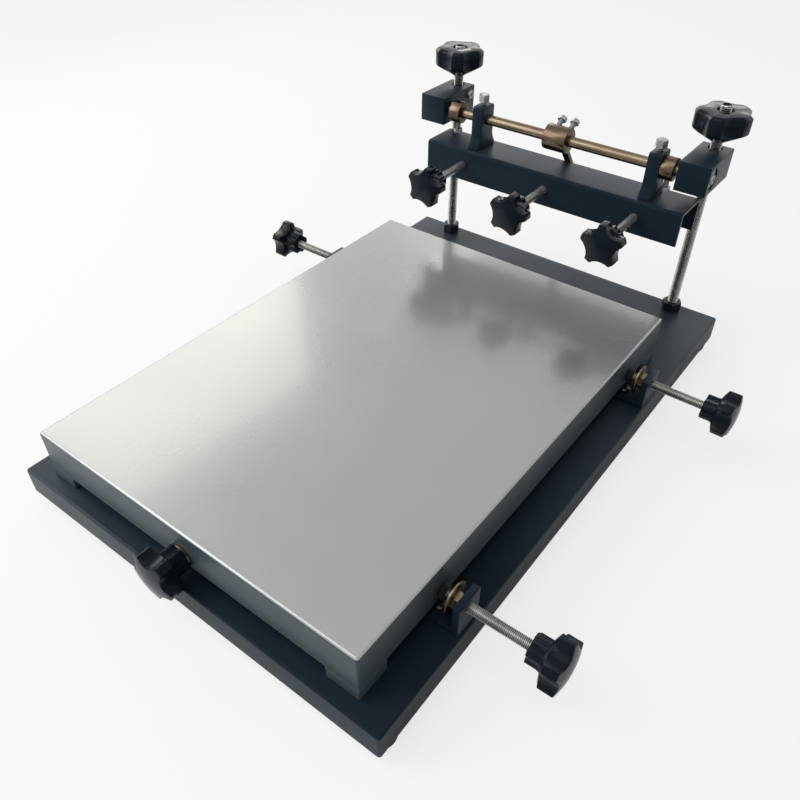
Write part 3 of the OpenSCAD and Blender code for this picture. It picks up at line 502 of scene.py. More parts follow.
def openAlong(part, direction, centres, radius, segments=56, stretch=0.0, lastOnly=False):
    # opens round holes in every flat face that the axes cross, or in the last one
    # and hands back each axis's rims in order
    part.normal_update()
    direction = Vector(direction)
    centres = [Vector(centre) for centre in centres]
    across = [i for i in range(3) if abs(direction[i]) < 0.5]
    crossed = []
    for face in part.faces:
        if abs(face.normal.dot(direction)) > 0.999:
            spans = [(min(v.co[i] for v in face.verts), max(v.co[i] for v in face.verts)) for i in across]
            if all(low + radius < centres[0][i] < high - radius for i, (low, high) in zip(across, spans)):
                crossed.append(face)
    crossed.sort(key=lambda face: face.calc_center_median().dot(direction))
    if lastOnly:
        crossed = crossed[-1:]
    rims = [[] for centre in centres]
    for face in crossed:
        outline, normal = face.edges[:], face.normal.copy()
        level = face.calc_center_median()
        fresh = []
        for centre, found in zip(centres, rims):
            foot = centre + direction * (level - centre).dot(direction)
            made = bmesh.ops.create_circle(part, cap_ends=False, segments=segments, radius=radius,
                                           matrix=aim(foot, direction))
            rim = list({edge for vert in made["verts"] for edge in vert.link_edges})
            for vert in made["verts"]:
                if stretch and abs(vert.co.x - foot.x) > 0.01:
                    vert.co.x += math.copysign(stretch, vert.co.x - foot.x)
            found.append(rim)
            fresh += rim
        bmesh.ops.delete(part, geom=[face], context="FACES_ONLY")
        bmesh.ops.triangle_fill(part, edges=outline + fresh, use_beauty=True, normal=normal)
    return rims


def boreThrough(part, direction, centres, radius, segments=56):
    for rims in openAlong(part, direction, centres, radius, segments):
        loft(part, rims)


def hexRadius(flats):
    def radiusAt(angle):
        nearest = round(angle / (math.pi / 3)) * math.pi / 3
        return flats / 2 / math.cos(angle - nearest)
    return radiusAt


def hexNut(flats, tall, hole, segments=72):
    # nut with both faces turned, its bore chamfered
    rim, slope, outer = flats / 2 * 0.95, math.tan(math.radians(30)), hexRadius(flats)
    return ringLoft(segments, [
        (tall * 0.1, hole),
        (0, hole * 1.1),
        (0, rim),
        (lambda r: (r - rim) * slope, outer),
        (lambda r: tall - (r - rim) * slope, outer),
        (tall, rim),
        (tall, hole * 1.1),
        (tall * 0.9, hole),
    ], closed=True)


def hexHead(flats, tall, segments=72):
    # hexagon head with a turned top
    rim, slope, outer = flats / 2 * 0.94, math.tan(math.radians(30)), hexRadius(flats)
    return ringLoft(segments, [
        (0, rim),
        (lambda r: (r - rim) * slope * 0.4, outer),
        (lambda r: tall - (r - rim) * slope, outer),
        (tall, rim),
        (tall, rim * 0.5),
    ])


def panHead(width, tall, socket, segments=72):
    # round head with a domed rim and a hexagon socket
    inside = hexRadius(socket)
    return ringLoft(segments, [
        (0, width * 0.49),
        (tall * 0.12, width * 0.5),
        (tall * 0.5, width * 0.497),
        (tall * 0.78, width * 0.465),
        (tall * 0.94, width * 0.40),
        (tall, width * 0.32),
        (tall, lambda a: inside(a) * 1.06),
        (tall * 0.93, inside),
        (tall * 0.3, inside),
        (tall * 0.22, lambda a: inside(a) * 0.3),
    ])


def rod(width, low, high, edge=0.6, segments=64):
    radius = width / 2
    return lathe([(0, low), (radius - edge, low), (radius, low + edge), (radius, high - edge),
                  (radius - edge, high), (0, high)], segments, closed=False)


def thread(size, pitch, low, high, segments=28, taper=1.0):
    # one long zigzag profile swept round a helix, then cut to length
    part = bmesh.new()
    crest, root = size / 2, size / 2 - pitch * 0.56
    points = []
    for turn in range(int((high - low) / pitch) + 3):
        bottom = low - 2 * pitch + turn * pitch
        for radius, share in ((root, 0.0), (root, 0.13), (crest, 0.48), (crest, 0.63)):
            points.append(part.verts.new((radius, 0, bottom + share * pitch)))
    edges = [part.edges.new(pair) for pair in zip(points, points[1:])]
    bmesh.ops.spin(part, geom=points + edges, cent=(0, 0, 0), axis=(0, 0, 1), dvec=(0, 0, pitch / segments),
                   angle=math.tau, steps=segments, use_merge=False)
    bmesh.ops.remove_doubles(part, verts=part.verts[:], dist=0.01)
    for height, way in ((low, down), (high, up)):
        cut = bmesh.ops.bisect_plane(part, geom=part.verts[:] + part.edges[:] + part.faces[:],
                                     plane_co=(0, 0, height), plane_no=way, clear_outer=True)
        rim = [item for item in cut["geom_cut"] if isinstance(item, bmesh.types.BMEdge)]
        bmesh.ops.holes_fill(part, edges=rim, sides=0)
    for vert in part.verts:
        radius = vert.co.xy.length
        most = crest - max(0, vert.co.z - (high - taper), (low + taper) - vert.co.z)
        if radius > most:
            vert.co.x *= most / radius
            vert.co.y *= most / radius
    # faces in the thread roots take the second material, a darker zinc that paints in the shade of the
    # grooves
    for face in part.faces:
        face.material_index = 1 if max(vert.co.xy.length for vert in face.verts) < root + 0.02 else 0
    return part


class StarOutline:
    # disc with round flutes cut between its lobes, the corners slightly eased over a small angle
    span = 0.03

    def __init__(self, outer, waist, flute, lobes=5, ease=0.16):
        self.outer, self.flute, self.ease, self.half = outer, outer * flute, ease, math.pi / lobes
        self.far = outer * waist + self.flute
        reach = (outer ** 2 + self.far ** 2 - self.flute ** 2) / (2 * outer * self.far)
        self.corner = self.half - math.acos(reach)

    def drawnIn(self, inset):
        def radiusAt(angle):
            turn = abs((angle + self.half) % (2 * self.half) - self.half)
            across, hollow = self.far * math.sin(self.half - turn), self.flute + inset
            radius = self.outer - inset
            if across < hollow:
                fluted = self.far * math.cos(self.half - turn) - math.sqrt(hollow ** 2 - across ** 2)
                radius = min(radius, fluted)
            return radius - self.ease * max(0, 1 - abs(turn - self.corner) / self.span)
        return radiusAt


def starAngles(*outlines, steps=14):
    # even steps round the knob, and close ones at the corners of every outline
    half, span = outlines[0].half, StarOutline.span
    turns = {half * step / steps for step in range(steps + 1)}
    for outline in outlines:
        near = {outline.corner + span * share for share in (-1, -0.4, 0, 0.4, 1)}
        turns = {turn for turn in turns if all(abs(turn - other) > span * 0.4 for other in near)} | near
    turns = sorted(turn for turn in turns if 0 <= turn <= half)
    sector = turns + [2 * half - turn for turn in reversed(turns[1:-1])]
    return [2 * half * lobe + turn for lobe in range(round(math.pi / half)) for turn in sector]


# Base and what is fixed to it

trayShape = {"bend": 2.4, "sheet": 2.0, "lip": 28.0, "lipInset": 2.2, "lipEdge": 0.4, "postHole": 5.1}
low, high = boxMm("base_tray")
leftPost, rightPost = middleMm("left_post"), middleMm("right_post")
whole = bmesh.new()
shell = foldedShell(low, high, trayShape["bend"], 5)
openAlong(shell, up, [leftPost, rightPost], trayShape["postHole"])
takeIn(whole, thicken(shell, trayShape["sheet"]))
for side in (-1, 1):
    outer = side * (high.x - trayShape["sheet"] * 0.5)
    inner = side * (high.x - trayShape["lip"])
    lip = block((min(outer, inner), low.y + trayShape["lipInset"], low.z),
                (max(outer, inner), high.y - trayShape["lipInset"], low.z + trayShape["sheet"]))
    softenEdges(lip, trayShape["lipEdge"], 2)
    takeIn(whole, lip)
finishPiece("foldedBase", whole, "blackCoat", "base", "black_steel", "base_tray")

footShape = {"radius": 13.5, "tall": 10.0, "recess": 4.0, "recessRadius": 5.0, "hole": 2.6}
low, high = boxMm("rubber_feet")
whole = bmesh.new()
radius, tall, recess = footShape["radius"], footShape["tall"], footShape["recess"]
sunk, hole = footShape["recessRadius"], footShape["hole"]
footProfile = [(hole, tall), (radius - 0.8, tall), (radius - 0.1, tall - 0.8), (radius - 0.6, 3.0),
               (radius - 1.6, 0.9), (radius - 3.0, 0), (6.4, 0), (5.2, 0.8), (sunk, recess), (hole, recess)]
for x in (low.x + radius, high.x - radius):
    for y in (low.y + radius, high.y - radius):
        takeIn(whole, lathe(footProfile, 72), Matrix.Translation((x, y, 0)))
finishPiece("rubberFeet", whole, "rubber", "base", "rubber", "rubber_feet")

screwNut = {"flats": 13.0, "tall": 5.0, "hole": 4.12}
sideWasher = {"bore": 4.3, "radius": 13.0, "tall": 1.6, "slope": 0.3, "edge": 0.3, "segments": 96}
bracketShape = {"wide": 25.0, "thick": 6.0, "foot": 24.0, "footThick": 4.0, "hole": 4.25, "edge": 0.7,
                "nutTurn": 11}
side = boxMm("side_brackets")
footTop = side[0].z + bracketShape["footThick"]
whole, nuts, washers = bmesh.new(), bmesh.new(), bmesh.new()
for name in ("right_front", "right_rear", "left_rear"):
    way = 1 if name.startswith("right") else -1
    axis = middleMm(name + "_screw")
    outer = side[1].x * way
    inner = outer - way * bracketShape["thick"]
    half = bracketShape["wide"] / 2
    part = block((min(outer, inner), axis.y - half, side[0].z), (max(outer, inner), axis.y + half, side[1].z))
    bmesh.ops.bisect_plane(part, geom=part.verts[:] + part.edges[:] + part.faces[:], plane_no=up,
                           plane_co=(0, 0, footTop))
    part.normal_update()
    toe = [face for face in part.faces
           if face.normal.x * way < -0.9 and face.calc_center_median().z < footTop]
    grown = bmesh.ops.extrude_face_region(part, geom=toe)
    bmesh.ops.delete(part, geom=[face for face in toe if face.is_valid], context="FACES_ONLY")
    bmesh.ops.translate(part, vec=(-way * bracketShape["foot"], 0, 0), verts=vertsOf(grown))
    bmesh.ops.dissolve_limit(part, angle_limit=0.01, verts=part.verts[:], edges=part.edges[:])
    softenEdges(part, bracketShape["edge"], 3)
    boreThrough(part, right, [axis], bracketShape["hole"])
    takeIn(whole, part)
    nutEnd = inner - way * screwNut["tall"]
    washerEnd = nutEnd - way * sideWasher["tall"]
    takeIn(nuts, hexNut(**screwNut),
           aim((nutEnd, axis.y, axis.z), (way, 0, 0), bracketShape["nutTurn"] * way))
    takeIn(washers, washer(**sideWasher), aim((washerEnd, axis.y, axis.z), (way, 0, 0)))
finishPiece("sideBrackets", whole, "blackCoat", "base", "black_steel", "side_brackets")
finishPiece("sideNuts", nuts, "yellowZinc", "base", "yellow_zinc", "side_nuts")
finishPiece("sideWashers", washers, "yellowZinc", "base", "yellow_zinc", "side_washers")
print("base ready")


# Platform and the washers of its front screw

platformShape = {"bend": 2.3, "sheet": 2.0, "slot": 4.5, "slotHalf": 4.5, "shadeLine": 0.45}
low, high = boxMm("work_platform")
frontAxis = middleMm("front_screw")
shell = foldedShell(low, high, platformShape["bend"], 6)
openAlong(shell, front, [frontAxis], platformShape["slotHalf"], 40, platformShape["slot"], lastOnly=True)
thicken(shell, platformShape["sheet"])
shell.normal_update()
# faces above the fold's middle take the grey paint, all lower faces its darker copy, which paints in the
# shade of the sides
for face in shell.faces:
    lifted = face.calc_center_median().z > high.z - platformShape["bend"] * platformShape["shadeLine"]
    face.material_index = 0 if lifted else 1
singlePiece("workPlatform", shell, Matrix.Identity(4), ["topPaint", "skirtPaint"], "platform", "grey_steel",
            "work_platform")

glideShape = {"wide": 28.0, "edge": 0.6, "gap": 0.15}
low, high = boxMm("platform_glides")
whole = bmesh.new()
wide = glideShape["wide"]
for x in (low.x, high.x - wide):
    for y in (low.y, high.y - wide):
        part = block((x, y, low.z), (x + wide, y + wide, high.z - glideShape["gap"]))
        softenEdges(part, glideShape["edge"], 3)
        takeIn(whole, part)
# the corner glides take the same darker copy: painted shade
finishPiece("platformGlides", whole, "skirtPaint", "platform", "glide_steel", "platform_glides")

frontWasher = {"bore": 4.12, "radius": 10.0, "tall": 1.6, "slope": 0.2}
whole = bmesh.new()
low, high = boxMm("front_washers")
for level in (low.y + frontWasher["tall"], high.y):
    takeIn(whole, washer(**frontWasher), aim((frontAxis.x, level, frontAxis.z), front))
finishPiece("frontWashers", whole, "yellowZinc", "front_carrier", "yellow_zinc", "front_washers")
print("platform ready")


# Screws and their star knobs

knobShape = {"across": 40.0, "long": 28.0, "head": 16.0, "hub": 22.0, "waist": 0.70, "flute": 0.62,
             "hubWaist": 0.84, "hubFlute": 0.7, "dome": 3.2, "under": 2.0, "edge": 0.45}


def screwKnob(sizes):
    outer, hubOuter, edge = sizes["across"] / 2, sizes["hub"] / 2, sizes["edge"]
    star = StarOutline(outer, sizes["waist"], sizes["flute"])
    hub = StarOutline(hubOuter, sizes["hubWaist"], sizes["hubFlute"])
    steps = starAngles(star, hub)
    top, neck = sizes["long"], sizes["long"] - sizes["head"]

    def dome(radius):
        return top - sizes["dome"] * (radius / outer) ** 2

    def under(radius):
        return neck + sizes["under"] * max(0, (radius - hubOuter) / (outer - hubOuter))

    rings = [
        (0, lambda a: hub.drawnIn(0)(a) * 0.55),
        (0, hub.drawnIn(edge)),
        (edge * 0.3, hub.drawnIn(edge * 0.3)),
        (edge, hub.drawnIn(0)),
        (neck * 0.72, hub.drawnIn(0)),
        (neck * 0.9, lambda a: hub.drawnIn(0)(a) * 1.05),
        (neck, lambda a: hub.drawnIn(0)(a) * 0.5 + star.drawnIn(edge)(a) * 0.5),
        (under, star.drawnIn(edge)),
        (lambda r: under(r) + edge * 0.3, star.drawnIn(edge * 0.3)),
        (lambda r: under(r) + edge, star.drawnIn(0)),
        (lambda r: dome(r) - edge, star.drawnIn(0)),
        (lambda r: dome(r) - edge * 0.3, star.drawnIn(edge * 0.3)),
        (dome, star.drawnIn(edge)),
        (dome, star.drawnIn(edge * 2.6)),
    ]
    for share in (0.8, 0.6, 0.4, 0.2, 0.07):
        rings.append((dome, lambda a, share=share: star.drawnIn(edge * 2.6)(a) * share))
    return ringLoft(steps, rings)


# the second finish darkens the thread roots: painted shade in the grooves
threadWithRootShade = ["zinc", "dullZinc"]
screwShape = {"across": 8.0, "pitch": 1.25, "intoKnob": 8.0}
capShape = {"radius": 6.0, "long": 5.0, "bore": 4.1, "floor": 2.0}
radius, long, bore, floor = (capShape[size] for size in ("radius", "long", "bore", "floor"))
capProfile = [(0, 0), (radius - 1.4, 0), (radius - 0.5, 0.3), (radius, 1.0), (radius, long - 0.6),
              (radius - 0.4, long), (bore, long), (bore, floor), (0, floor)]
adjusters = {"right_front": (right, 20), "right_rear": (right, 5), "left_rear": (left, 10),
             "front": (front, 126)}
for name, (way, turn) in adjusters.items():
    axis, body = middleMm(name + "_screw"), name + "_adjuster"
    tip, hubEnd = (innerEnd(boxMm(name + node), way, axis) for node in ("_screw", "_knob"))
    long = (hubEnd - tip).length + screwShape["intoKnob"]
    singlePiece(name + "Screw", thread(screwShape["across"], screwShape["pitch"], 0, long), aim(tip, way),
                threadWithRootShade, body, "zinc_steel", name + "_screw")
    singlePiece(name + "Knob", screwKnob(knobShape), aim(hubEnd, way, turn), "knobPlastic", body,
                "black_plastic", name + "_knob")
    if way != front:
        face = innerEnd(boxMm(name + "_cap"), way, axis)
        singlePiece(name + "Cap", lathe(capProfile, closed=False), aim(face, way), "nylon", name + "_tip",
                    "black_nylon", name + "_cap")
nutEnd = innerEnd(boxMm("front_nut"), front, frontAxis)
singlePiece("frontNut", hexNut(**screwNut), aim(nutEnd, front), "yellowZinc", "front_adjuster",
            "yellow_zinc", "front_nut")
print("adjusting screws ready")


# Posts and their height knobs

postShape = {"across": 10.0, "pitch": 1.5, "taper": 1.2}
postNut = {"flats": 17.0, "tall": 9.5, "hole": 5.1}
heightKnobShape = {"across": 50.0, "hub": 16.0, "waist": 0.85, "flute": 0.9, "rim": 16.0, "chamfer": 2.56,
                   "dish": 7.5, "dishDeep": 1.92, "bore": 5.2, "edge": 0.4}


def heightKnob(sizes, long):
    outer, hub, edge = sizes["across"] / 2, sizes["hub"] / 2, sizes["edge"]
    star = StarOutline(outer, sizes["waist"], sizes["flute"])
    steps = starAngles(star)
    rimLow, bevelled, floor = long - sizes["rim"], sizes["chamfer"], long - sizes["dishDeep"]
    bore, dish = sizes["bore"], sizes["dish"]

    def under(radius):
        return rimLow * max(0, radius - hub) / (outer - hub)

    return ringLoft(steps, [
        (0, bore),
        (0, hub - edge),
        (edge, hub),
        (under, lambda a: hub * 0.55 + star.drawnIn(edge)(a) * 0.45),
        (under, star.drawnIn(edge)),
        (lambda r: under(r) + edge * 0.5, star.drawnIn(edge * 0.2)),
        (lambda r: under(r) + edge * 1.6, star.drawnIn(0)),
        (long - bevelled - edge * 0.6, star.drawnIn(0)),
        (long - bevelled + edge * 0.4, star.drawnIn(edge * 0.6)),
        (long - edge * 0.6, star.drawnIn(bevelled - edge * 0.4)),
        (long, star.drawnIn(bevelled + edge * 0.8)),
        (long, dish + edge),
        (long - edge, dish),
        (floor, dish - edge * 0.25),
        (floor, bore),
    ], closed=True)


for side, turn in (("left", 10), ("right", -14)):
    low, high = boxMm(side + "_post")
    axis = (low + high) / 2
    body = side + "_post_assembly"
    post = thread(postShape["across"], postShape["pitch"], low.z, high.z, 32, postShape["taper"])
    singlePiece(side + "Post", post, Matrix.Translation((axis.x, axis.y, 0)), threadWithRootShade, body,
                "zinc_steel", side + "_post")
    knobLow, knobHigh = boxMm(side + "_height_knob")
    singlePiece(side + "HeightKnob", heightKnob(heightKnobShape, knobHigh.z - knobLow.z),
                aim((axis.x, axis.y, knobLow.z), up, turn), "knobPlastic", body, "black_plastic",
                side + "_height_knob")
    nutLow, nutHigh = boxMm(side + "_post_nuts")
    whole = bmesh.new()
    for level in (nutHigh.z - postNut["tall"], nutLow.z):
        takeIn(whole, hexNut(**postNut), aim((axis.x, axis.y, level), up, 30))
    finishPiece(side + "PostNuts", whole, "dullZinc", body, "zinc_steel", side + "_post_nuts")
print("posts ready")


# Carriage: blocks, shaft, collars and stop

blockShape = {"edge": 0.7, "bore": 5.2, "flare": 6.75, "flareDeep": 4.05, "recess": 9.8, "recessDeep": 2.5,
              "segments": 56}
shaftAxis = middleMm("hinge_shaft")


def onShaft(x):
    return Vector((x, shaftAxis.y, shaftAxis.z))


for side, way, post in (("left", -1, leftPost), ("right", 1, rightPost)):
    low, high = boxMm(side + "_block")
    part = block(low, high)
    softenEdges(part, blockShape["edge"], 3)
    bore, flare, steps = blockShape["bore"], blockShape["flare"], blockShape["segments"]
    below, above = openAlong(part, up, [post], flare, steps)[0]
    for vert in {vert for edge in below for vert in edge.verts}:
        away = (vert.co.xy - post.xy) * (bore / flare)
        vert.co.x, vert.co.y = post.x + away.x, post.y + away.y
    throat = ringOf(part, steps, high.z - blockShape["flareDeep"], bore)
    for vert in {vert for edge in throat for vert in edge.verts}:
        vert.co.x += post.x
        vert.co.y += post.y
    loft(part, [below, throat, above])
    rim = openAlong(part, (way, 0, 0), [shaftAxis], blockShape["recess"], lastOnly=True)[0][0]
    sunk = bmesh.ops.extrude_edge_only(part, edges=rim)
    bmesh.ops.translate(part, verts=vertsOf(sunk), vec=(-way * blockShape["recessDeep"], 0, 0))
    bmesh.ops.holes_fill(part, edges=[edge for edge in part.edges if edge.is_boundary], sides=0)
    singlePiece(side + "Block", part, Matrix.Identity(4), "blackCoat", "carriage", "black_steel",
                side + "_block")

shaftAcross = 10.0
low, high = boxMm("hinge_shaft")
singlePiece("hingeShaft", rod(shaftAcross, low.x, high.x), aim(onShaft(0), right),
            "yellowZinc", "carriage", "yellow_zinc", "hinge_shaft")

collarShape = {"across": 21.0, "long": 12.0, "clear": 0.06, "boreEdge": 0.5, "slope": 0.45, "edge": 0.7,
               "ease": 0.15}
setScrewShape = {"size": 5.0, "pitch": 0.8, "segments": 24, "taper": 0.3}
setHead = {"flats": 8.0, "tall": 4.0, "clear": 0.5, "proud": 6.3}


def collar(across, long):
    radius, bore = across / 2, shaftAcross / 2 + collarShape["clear"]
    inset, edge, ease = collarShape["boreEdge"], collarShape["edge"], collarShape["ease"]
    mouth = bore + collarShape["slope"]
    return lathe([(bore, inset), (mouth, 0), (radius - edge, 0), (radius - ease, edge - inset),
                  (radius, edge), (radius, long - edge), (radius - ease, long - edge + inset),
                  (radius - edge, long), (mouth, long), (bore, long - inset)], 96)


def setScrew(reach):
    # hexagon screw that stands out of a collar, its head at the given distance from the shaft's axis
    part = bmesh.new()
    takeIn(part, thread(low=shaftAcross / 2 + setHead["clear"], high=reach, **setScrewShape))
    takeIn(part, hexHead(setHead["flats"], setHead["tall"]), Matrix.Translation((0, 0, reach)))
    return part


low, high = boxMm("end_collars")
long = collarShape["long"]
whole, screws = bmesh.new(), bmesh.new()
for x in (low.x, high.x - long):
    takeIn(whole, collar(collarShape["across"], long), aim(onShaft(x), right))
    addPart(screws, setScrew(collarShape["across"] / 2 + setHead["proud"]),
            aim(onShaft(x + long / 2), down))
finishPiece("endCollars", whole, "collarZinc", "carriage", "yellow_zinc", "end_collars")
finishPiece("collarScrews", screws, "chrome", "carriage", "chrome_steel", "collar_screws")

stopShape = {"across": 24.0, "wide": 7.0, "thick": 4.0, "lean": 50.619, "near": 5.3, "reach": 149.98,
             "edge": 0.4, "barShift": 3.0, "screwLean": 55.0, "screwGap": 6.72, "proud": 7.2}
low, high = boxMm("stop_collar")
singlePiece("stopCollar", collar(stopShape["across"], high.x - low.x),
            aim(onShaft(low.x), right), "collarZinc", "carriage", "yellow_zinc",
            "stop_collar")

stopX = (low.x + high.x) / 2
bar = block((-stopShape["wide"] / 2, -stopShape["thick"] / 2, stopShape["near"]),
            (stopShape["wide"] / 2, stopShape["thick"] / 2, stopShape["reach"]))
softenEdges(bar, stopShape["edge"], 2)
singlePiece("stopBar", bar, Matrix.Translation(onShaft(stopX + stopShape["barShift"]))
            @ Matrix.Rotation(math.radians(-90 - stopShape["lean"]), 4, "X"),
            "yellowZinc", "carriage", "yellow_zinc", "stop_rod")

screws = bmesh.new()
for shift in (-stopShape["screwGap"], stopShape["screwGap"]):
    addPart(screws, setScrew(stopShape["across"] / 2 + stopShape["proud"]),
            Matrix.Translation(onShaft(stopX + shift))
            @ Matrix.Rotation(math.radians(-stopShape["screwLean"]), 4, "X"))
finishPiece("stopCollarScrews", screws, "chrome", "carriage", "chrome_steel", "stop_collar_screws")

lockShape = {"width": 9.0, "tall": 3.0, "socket": 2.5}
endShape = {"width": 9.0, "tall": 2.2, "socket": 2.5}
endWasher = {"bore": 2.6, "radius": 9.3, "tall": 1.2, "slope": 0.3, "segments": 72}
lockPlace = {"height": 0.72, "turn": 15, "endTurn": 10}
locks, ends = bmesh.new(), bmesh.new()
for side, way, post in (("left", -1, leftPost), ("right", 1, rightPost)):
    low, high = boxMm(side + "_block")
    inside, outside = (high.x, low.x) if way < 0 else (low.x, high.x)
    level = low.z + (high.z - low.z) * lockPlace["height"]
    takeIn(locks, panHead(**lockShape), aim((inside, post.y, level), (-way, 0, 0), lockPlace["turn"]))
    floor = outside - way * blockShape["recessDeep"]
    seat = floor + way * endWasher["tall"]
    takeIn(ends, washer(**endWasher), aim(onShaft(floor), (way, 0, 0)))
    takeIn(ends, panHead(**endShape),
           aim(onShaft(seat), (way, 0, 0), lockPlace["endTurn"]))
finishPiece("blockLockScrews", locks, "chrome", "carriage", "chrome_steel", "block_lock_screws")
finishPiece("shaftEndScrews", ends, "chrome", "carriage", "zinc_steel", "shaft_end_screws")
print("carriage ready")


# Clamp head

beamShape = {"bend": 3.0, "sheet": 2.5, "hole": 4.2, "pitch": 96.0}
low, high = boxMm("clamp_beam")
clampAxis = middleMm("middle_clamp_screw")
shell = foldedShell(low, high, beamShape["bend"], 6, openEnds=True)
holes = [clampAxis + Vector((shift, 0, 0)) for shift in (0, -beamShape["pitch"], beamShape["pitch"])]
openAlong(shell, front, holes, beamShape["hole"], lastOnly=True)
singlePiece("clampBeam", thicken(shell, beamShape["sheet"]), Matrix.Identity(4), "blackCoat", "clamp",
            "black_steel", "clamp_beam")

uprightShape = {"edge": 0.6, "bore": 5.15, "foot": 32.0, "footTall": 2.4, "deep": 22.0, "wide": 12.0,
                "flare": 0.9, "flareFrom": 9.4, "flareTo": 12.6, "topDrop": 2.1, "topIn": 1.8}
boltShape = {"across": 6.0, "pitch": 1.0, "flats": 9.9, "tall": 3.6, "hole": 3.1, "lift": 3.0, "sunk": 3.0,
             "intoHead": 3.8, "taper": 0.3}
uprightLow, uprightHigh = boxMm("hinge_uprights")
foot, deep, tall = uprightShape["foot"] / 2, uprightShape["deep"] / 2, uprightHigh.z - high.z
rear = [(foot, 0), (foot, uprightShape["footTall"]),
        (deep + uprightShape["flare"], uprightShape["flareFrom"]), (deep, uprightShape["flareTo"]),
        (deep, tall - uprightShape["topDrop"]), (deep - uprightShape["topIn"], tall)]
outline = rear + [(-y, z) for y, z in reversed(rear)]
nutLow = uprightHigh.z + boltShape["lift"]
whole, bolts = bmesh.new(), bmesh.new()
for x in (uprightLow.x, uprightHigh.x - uprightShape["wide"]):
    part = bmesh.new()
    face = part.faces.new([part.verts.new((x, shaftAxis.y + y, high.z + z)) for y, z in outline])
    grown = bmesh.ops.extrude_face_region(part, geom=[face])
    bmesh.ops.translate(part, vec=(uprightShape["wide"], 0, 0), verts=vertsOf(grown))
    softenEdges(part, uprightShape["edge"], 3, 40)
    boreThrough(part, right, [shaftAxis], uprightShape["bore"])
    takeIn(whole, part)
    middleX = x + uprightShape["wide"] / 2
    takeIn(bolts, thread(boltShape["across"], boltShape["pitch"], uprightHigh.z - boltShape["sunk"],
                         nutLow + boltShape["intoHead"], 24, boltShape["taper"]),
           Matrix.Translation((middleX, shaftAxis.y, 0)))
    takeIn(bolts, hexNut(boltShape["flats"], boltShape["tall"], boltShape["hole"]),
           aim((middleX, shaftAxis.y, nutLow), up, 30))
    takeIn(bolts, hexHead(boltShape["flats"], boltShape["tall"]),
           aim((middleX, shaftAxis.y, nutLow + boltShape["tall"]), up, 30))
finishPiece("hingeUprights", whole, "blackCoat", "clamp", "black_steel", "hinge_uprights")
finishPiece("frictionBolts", bolts, "chrome", "clamp", "chrome_steel", "friction_bolts")

padShape = {"radius": 8.0, "tall": 6.0, "neck": 5.8, "bore": 4.1, "floor": 2.4}
radius, tall, neck, bore, floor = (padShape[size] for size in ("radius", "tall", "neck", "bore", "floor"))
padProfile = [(0, 0), (radius - 1.0, 0), (radius - 0.2, 0.4), (radius, 1.2), (radius, 2.8),
              (radius - 0.6, 3.6), (neck + 0.4, tall - 0.4), (neck, tall), (bore, tall), (bore, floor),
              (0, floor)]
for name, turn in (("left", 79), ("middle", 80), ("right", 95)):
    axis, body = middleMm(name + "_clamp_screw"), name + "_clamp_handle"
    tip, hubEnd, padEnd = (innerEnd(boxMm(name + "_clamp_" + node), front, axis)
                           for node in ("screw", "knob", "pad"))
    screw = rod(screwShape["across"], 0, (hubEnd - tip).length + screwShape["intoKnob"], segments=72)
    singlePiece(name + "ClampScrew", screw, aim(tip, front), "chrome", body, "chrome_steel",
                name + "_clamp_screw")
    singlePiece(name + "ClampKnob", screwKnob(knobShape), aim(hubEnd, front, turn), "knobPlastic", body,
                "black_plastic", name + "_clamp_knob")
    singlePiece(name + "ClampPad", lathe(padProfile, 72, closed=False), aim(padEnd, front), "nylon",
                name + "_clamp_foot", "black_nylon", name + "_clamp_pad")
print("clamp head ready")


# Room, lamps and camera

roomShape = {"floor": 9.0, "white": (0.93, 0.93, 0.93, 1.0), "glow": 0.74, "diffuse": 0.30}
floorMesh = bmesh.new()
bmesh.ops.create_grid(floorMesh, x_segments=4, y_segments=4, size=roomShape["floor"])
mesh = bpy.data.meshes.new("floor")
floorMesh.to_mesh(mesh)
floorMesh.free()
floor = bpy.data.objects.new("floor", mesh)
bpy.context.scene.collection.objects.link(floor)
paper, tree, plain = newMaterial("whitePaper", Roughness=0.9, Specular_IOR_Level=0.1,
                                 Base_Color=roomShape["white"])
glow = addNode(tree, "ShaderNodeEmission", (0, -300), {"Color": (1, 1, 1, 1)})
seen = addNode(tree, "ShaderNodeLightPath", (-600, 400))
share = addNode(tree, "ShaderNodeMath", (-300, 300), operation="MULTIPLY")
share.inputs[1].default_value = roomShape["glow"]
mixed = addNode(tree, "ShaderNodeMixShader", (300, 0))
join(seen, "Is Camera Ray", share, 0)
join(share, "Value", mixed, "Fac")
join(plain, "BSDF", mixed, 1)
join(glow, "Emission", mixed, 2)
join(mixed, "Shader", tree.nodes["Material Output"], "Surface")
mesh.materials.append(paper)

world = bpy.data.worlds.new("studio")
world.use_nodes = True
bpy.context.scene.world = world
tree = world.node_tree
sky = tree.nodes["Background"]
sky.inputs["Color"].default_value = (1, 1, 1, 1)
path = addNode(tree, "ShaderNodeLightPath", (-900, 0))
first = addNode(tree, "ShaderNodeMath", (-650, 0), operation="MAXIMUM")
second = addNode(tree, "ShaderNodeMath", (-450, 0), operation="MAXIMUM")
level = addNode(tree, "ShaderNodeMapRange", (-250, 0), {"To Min": roomShape["diffuse"], "To Max": 1.0})
join(path, "Is Camera Ray", first, 0)
join(path, "Is Glossy Ray", first, 1)
join(first, "Value", second, 0)
join(path, "Is Transmission Ray", second, 1)
join(second, "Value", level, "Value")
join(level, "Result", sky, "Strength")


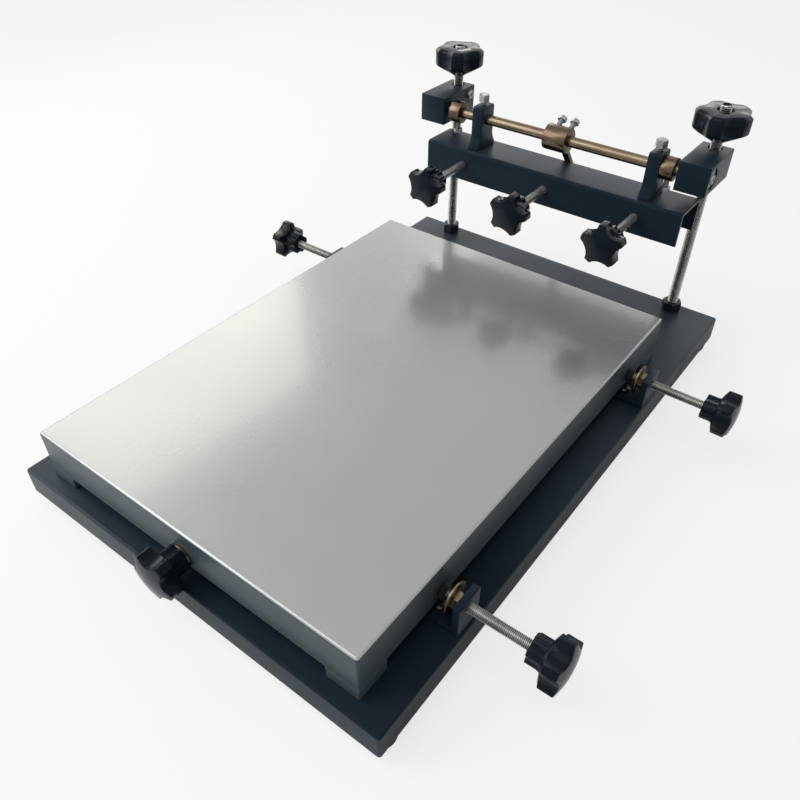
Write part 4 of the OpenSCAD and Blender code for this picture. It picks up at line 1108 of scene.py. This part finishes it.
def softLamp(name, place, target, wide, tall, power, tint):
    lamp = bpy.data.lights.new(name, "AREA")
    lamp.shape = "RECTANGLE"
    lamp.size, lamp.size_y = wide, tall
    lamp.energy = power
    lamp.color = tint
    holder = bpy.data.objects.new(name, lamp)
    holder.location = place
    holder.rotation_euler = (Vector(target) - Vector(place)).to_track_quat("-Z", "Y").to_euler()
    bpy.context.scene.collection.objects.link(holder)


lamps = {
    "windowLight": ((-1.30, 0.46, 0.98), (0.0, 0.46, 0.98), 1.12, 0.9, 6.3, (1.0, 0.955, 0.87)),
    "rearWindow": ((-1.25, 2.05, 1.20), (0.0, 0.15, 0.08), 0.14, 0.30, 0.9, (1.0, 0.955, 0.87)),
    "keyLight": ((-1.5, -1.3, 1.5), (0.0, 0.0, 0.05), 1.8, 1.8, 34.0, (0.90, 0.97, 1.0)),
    "lowLight": ((-1.2, 3.2, 0.8), (0.0, 0.3, 0.3), 2.0, 0.6, 2.5, (1.0, 1.0, 1.0)),
    "topLight": ((-0.1, -0.9, 2.4), (0.0, 0.0, 0.05), 1.6, 1.6, 13.0, (1.0, 1.0, 1.0)),
}
for name, settings in lamps.items():
    softLamp(name, *settings)

cameraShape = {"place": (0.3216, -0.45226, 0.4789), "heading": 37.375, "pitch": 48.507, "roll": 0.103,
               "lens": 34.134, "sensor": 36.0, "shiftX": -0.001475, "shiftY": 0.01579, "near": 0.02}
cameraData = bpy.data.cameras.new("photoCamera")
cameraData.sensor_width = cameraShape["sensor"]
cameraData.lens = cameraShape["lens"]
cameraData.shift_x = cameraShape["shiftX"]
cameraData.shift_y = cameraShape["shiftY"]
cameraData.clip_start = cameraShape["near"]
camera = bpy.data.objects.new("photoCamera", cameraData)
camera.location = cameraShape["place"]
turned = [Matrix.Rotation(math.radians(cameraShape[part]), 4, axis)
          for part, axis in (("heading", "Z"), ("pitch", "X"), ("roll", "Z"))]
camera.rotation_euler = (turned[0] @ turned[1] @ turned[2]).to_euler()
bpy.context.scene.collection.objects.link(camera)
bpy.context.scene.camera = camera
bpy.context.scene.view_settings.view_transform = "Standard"
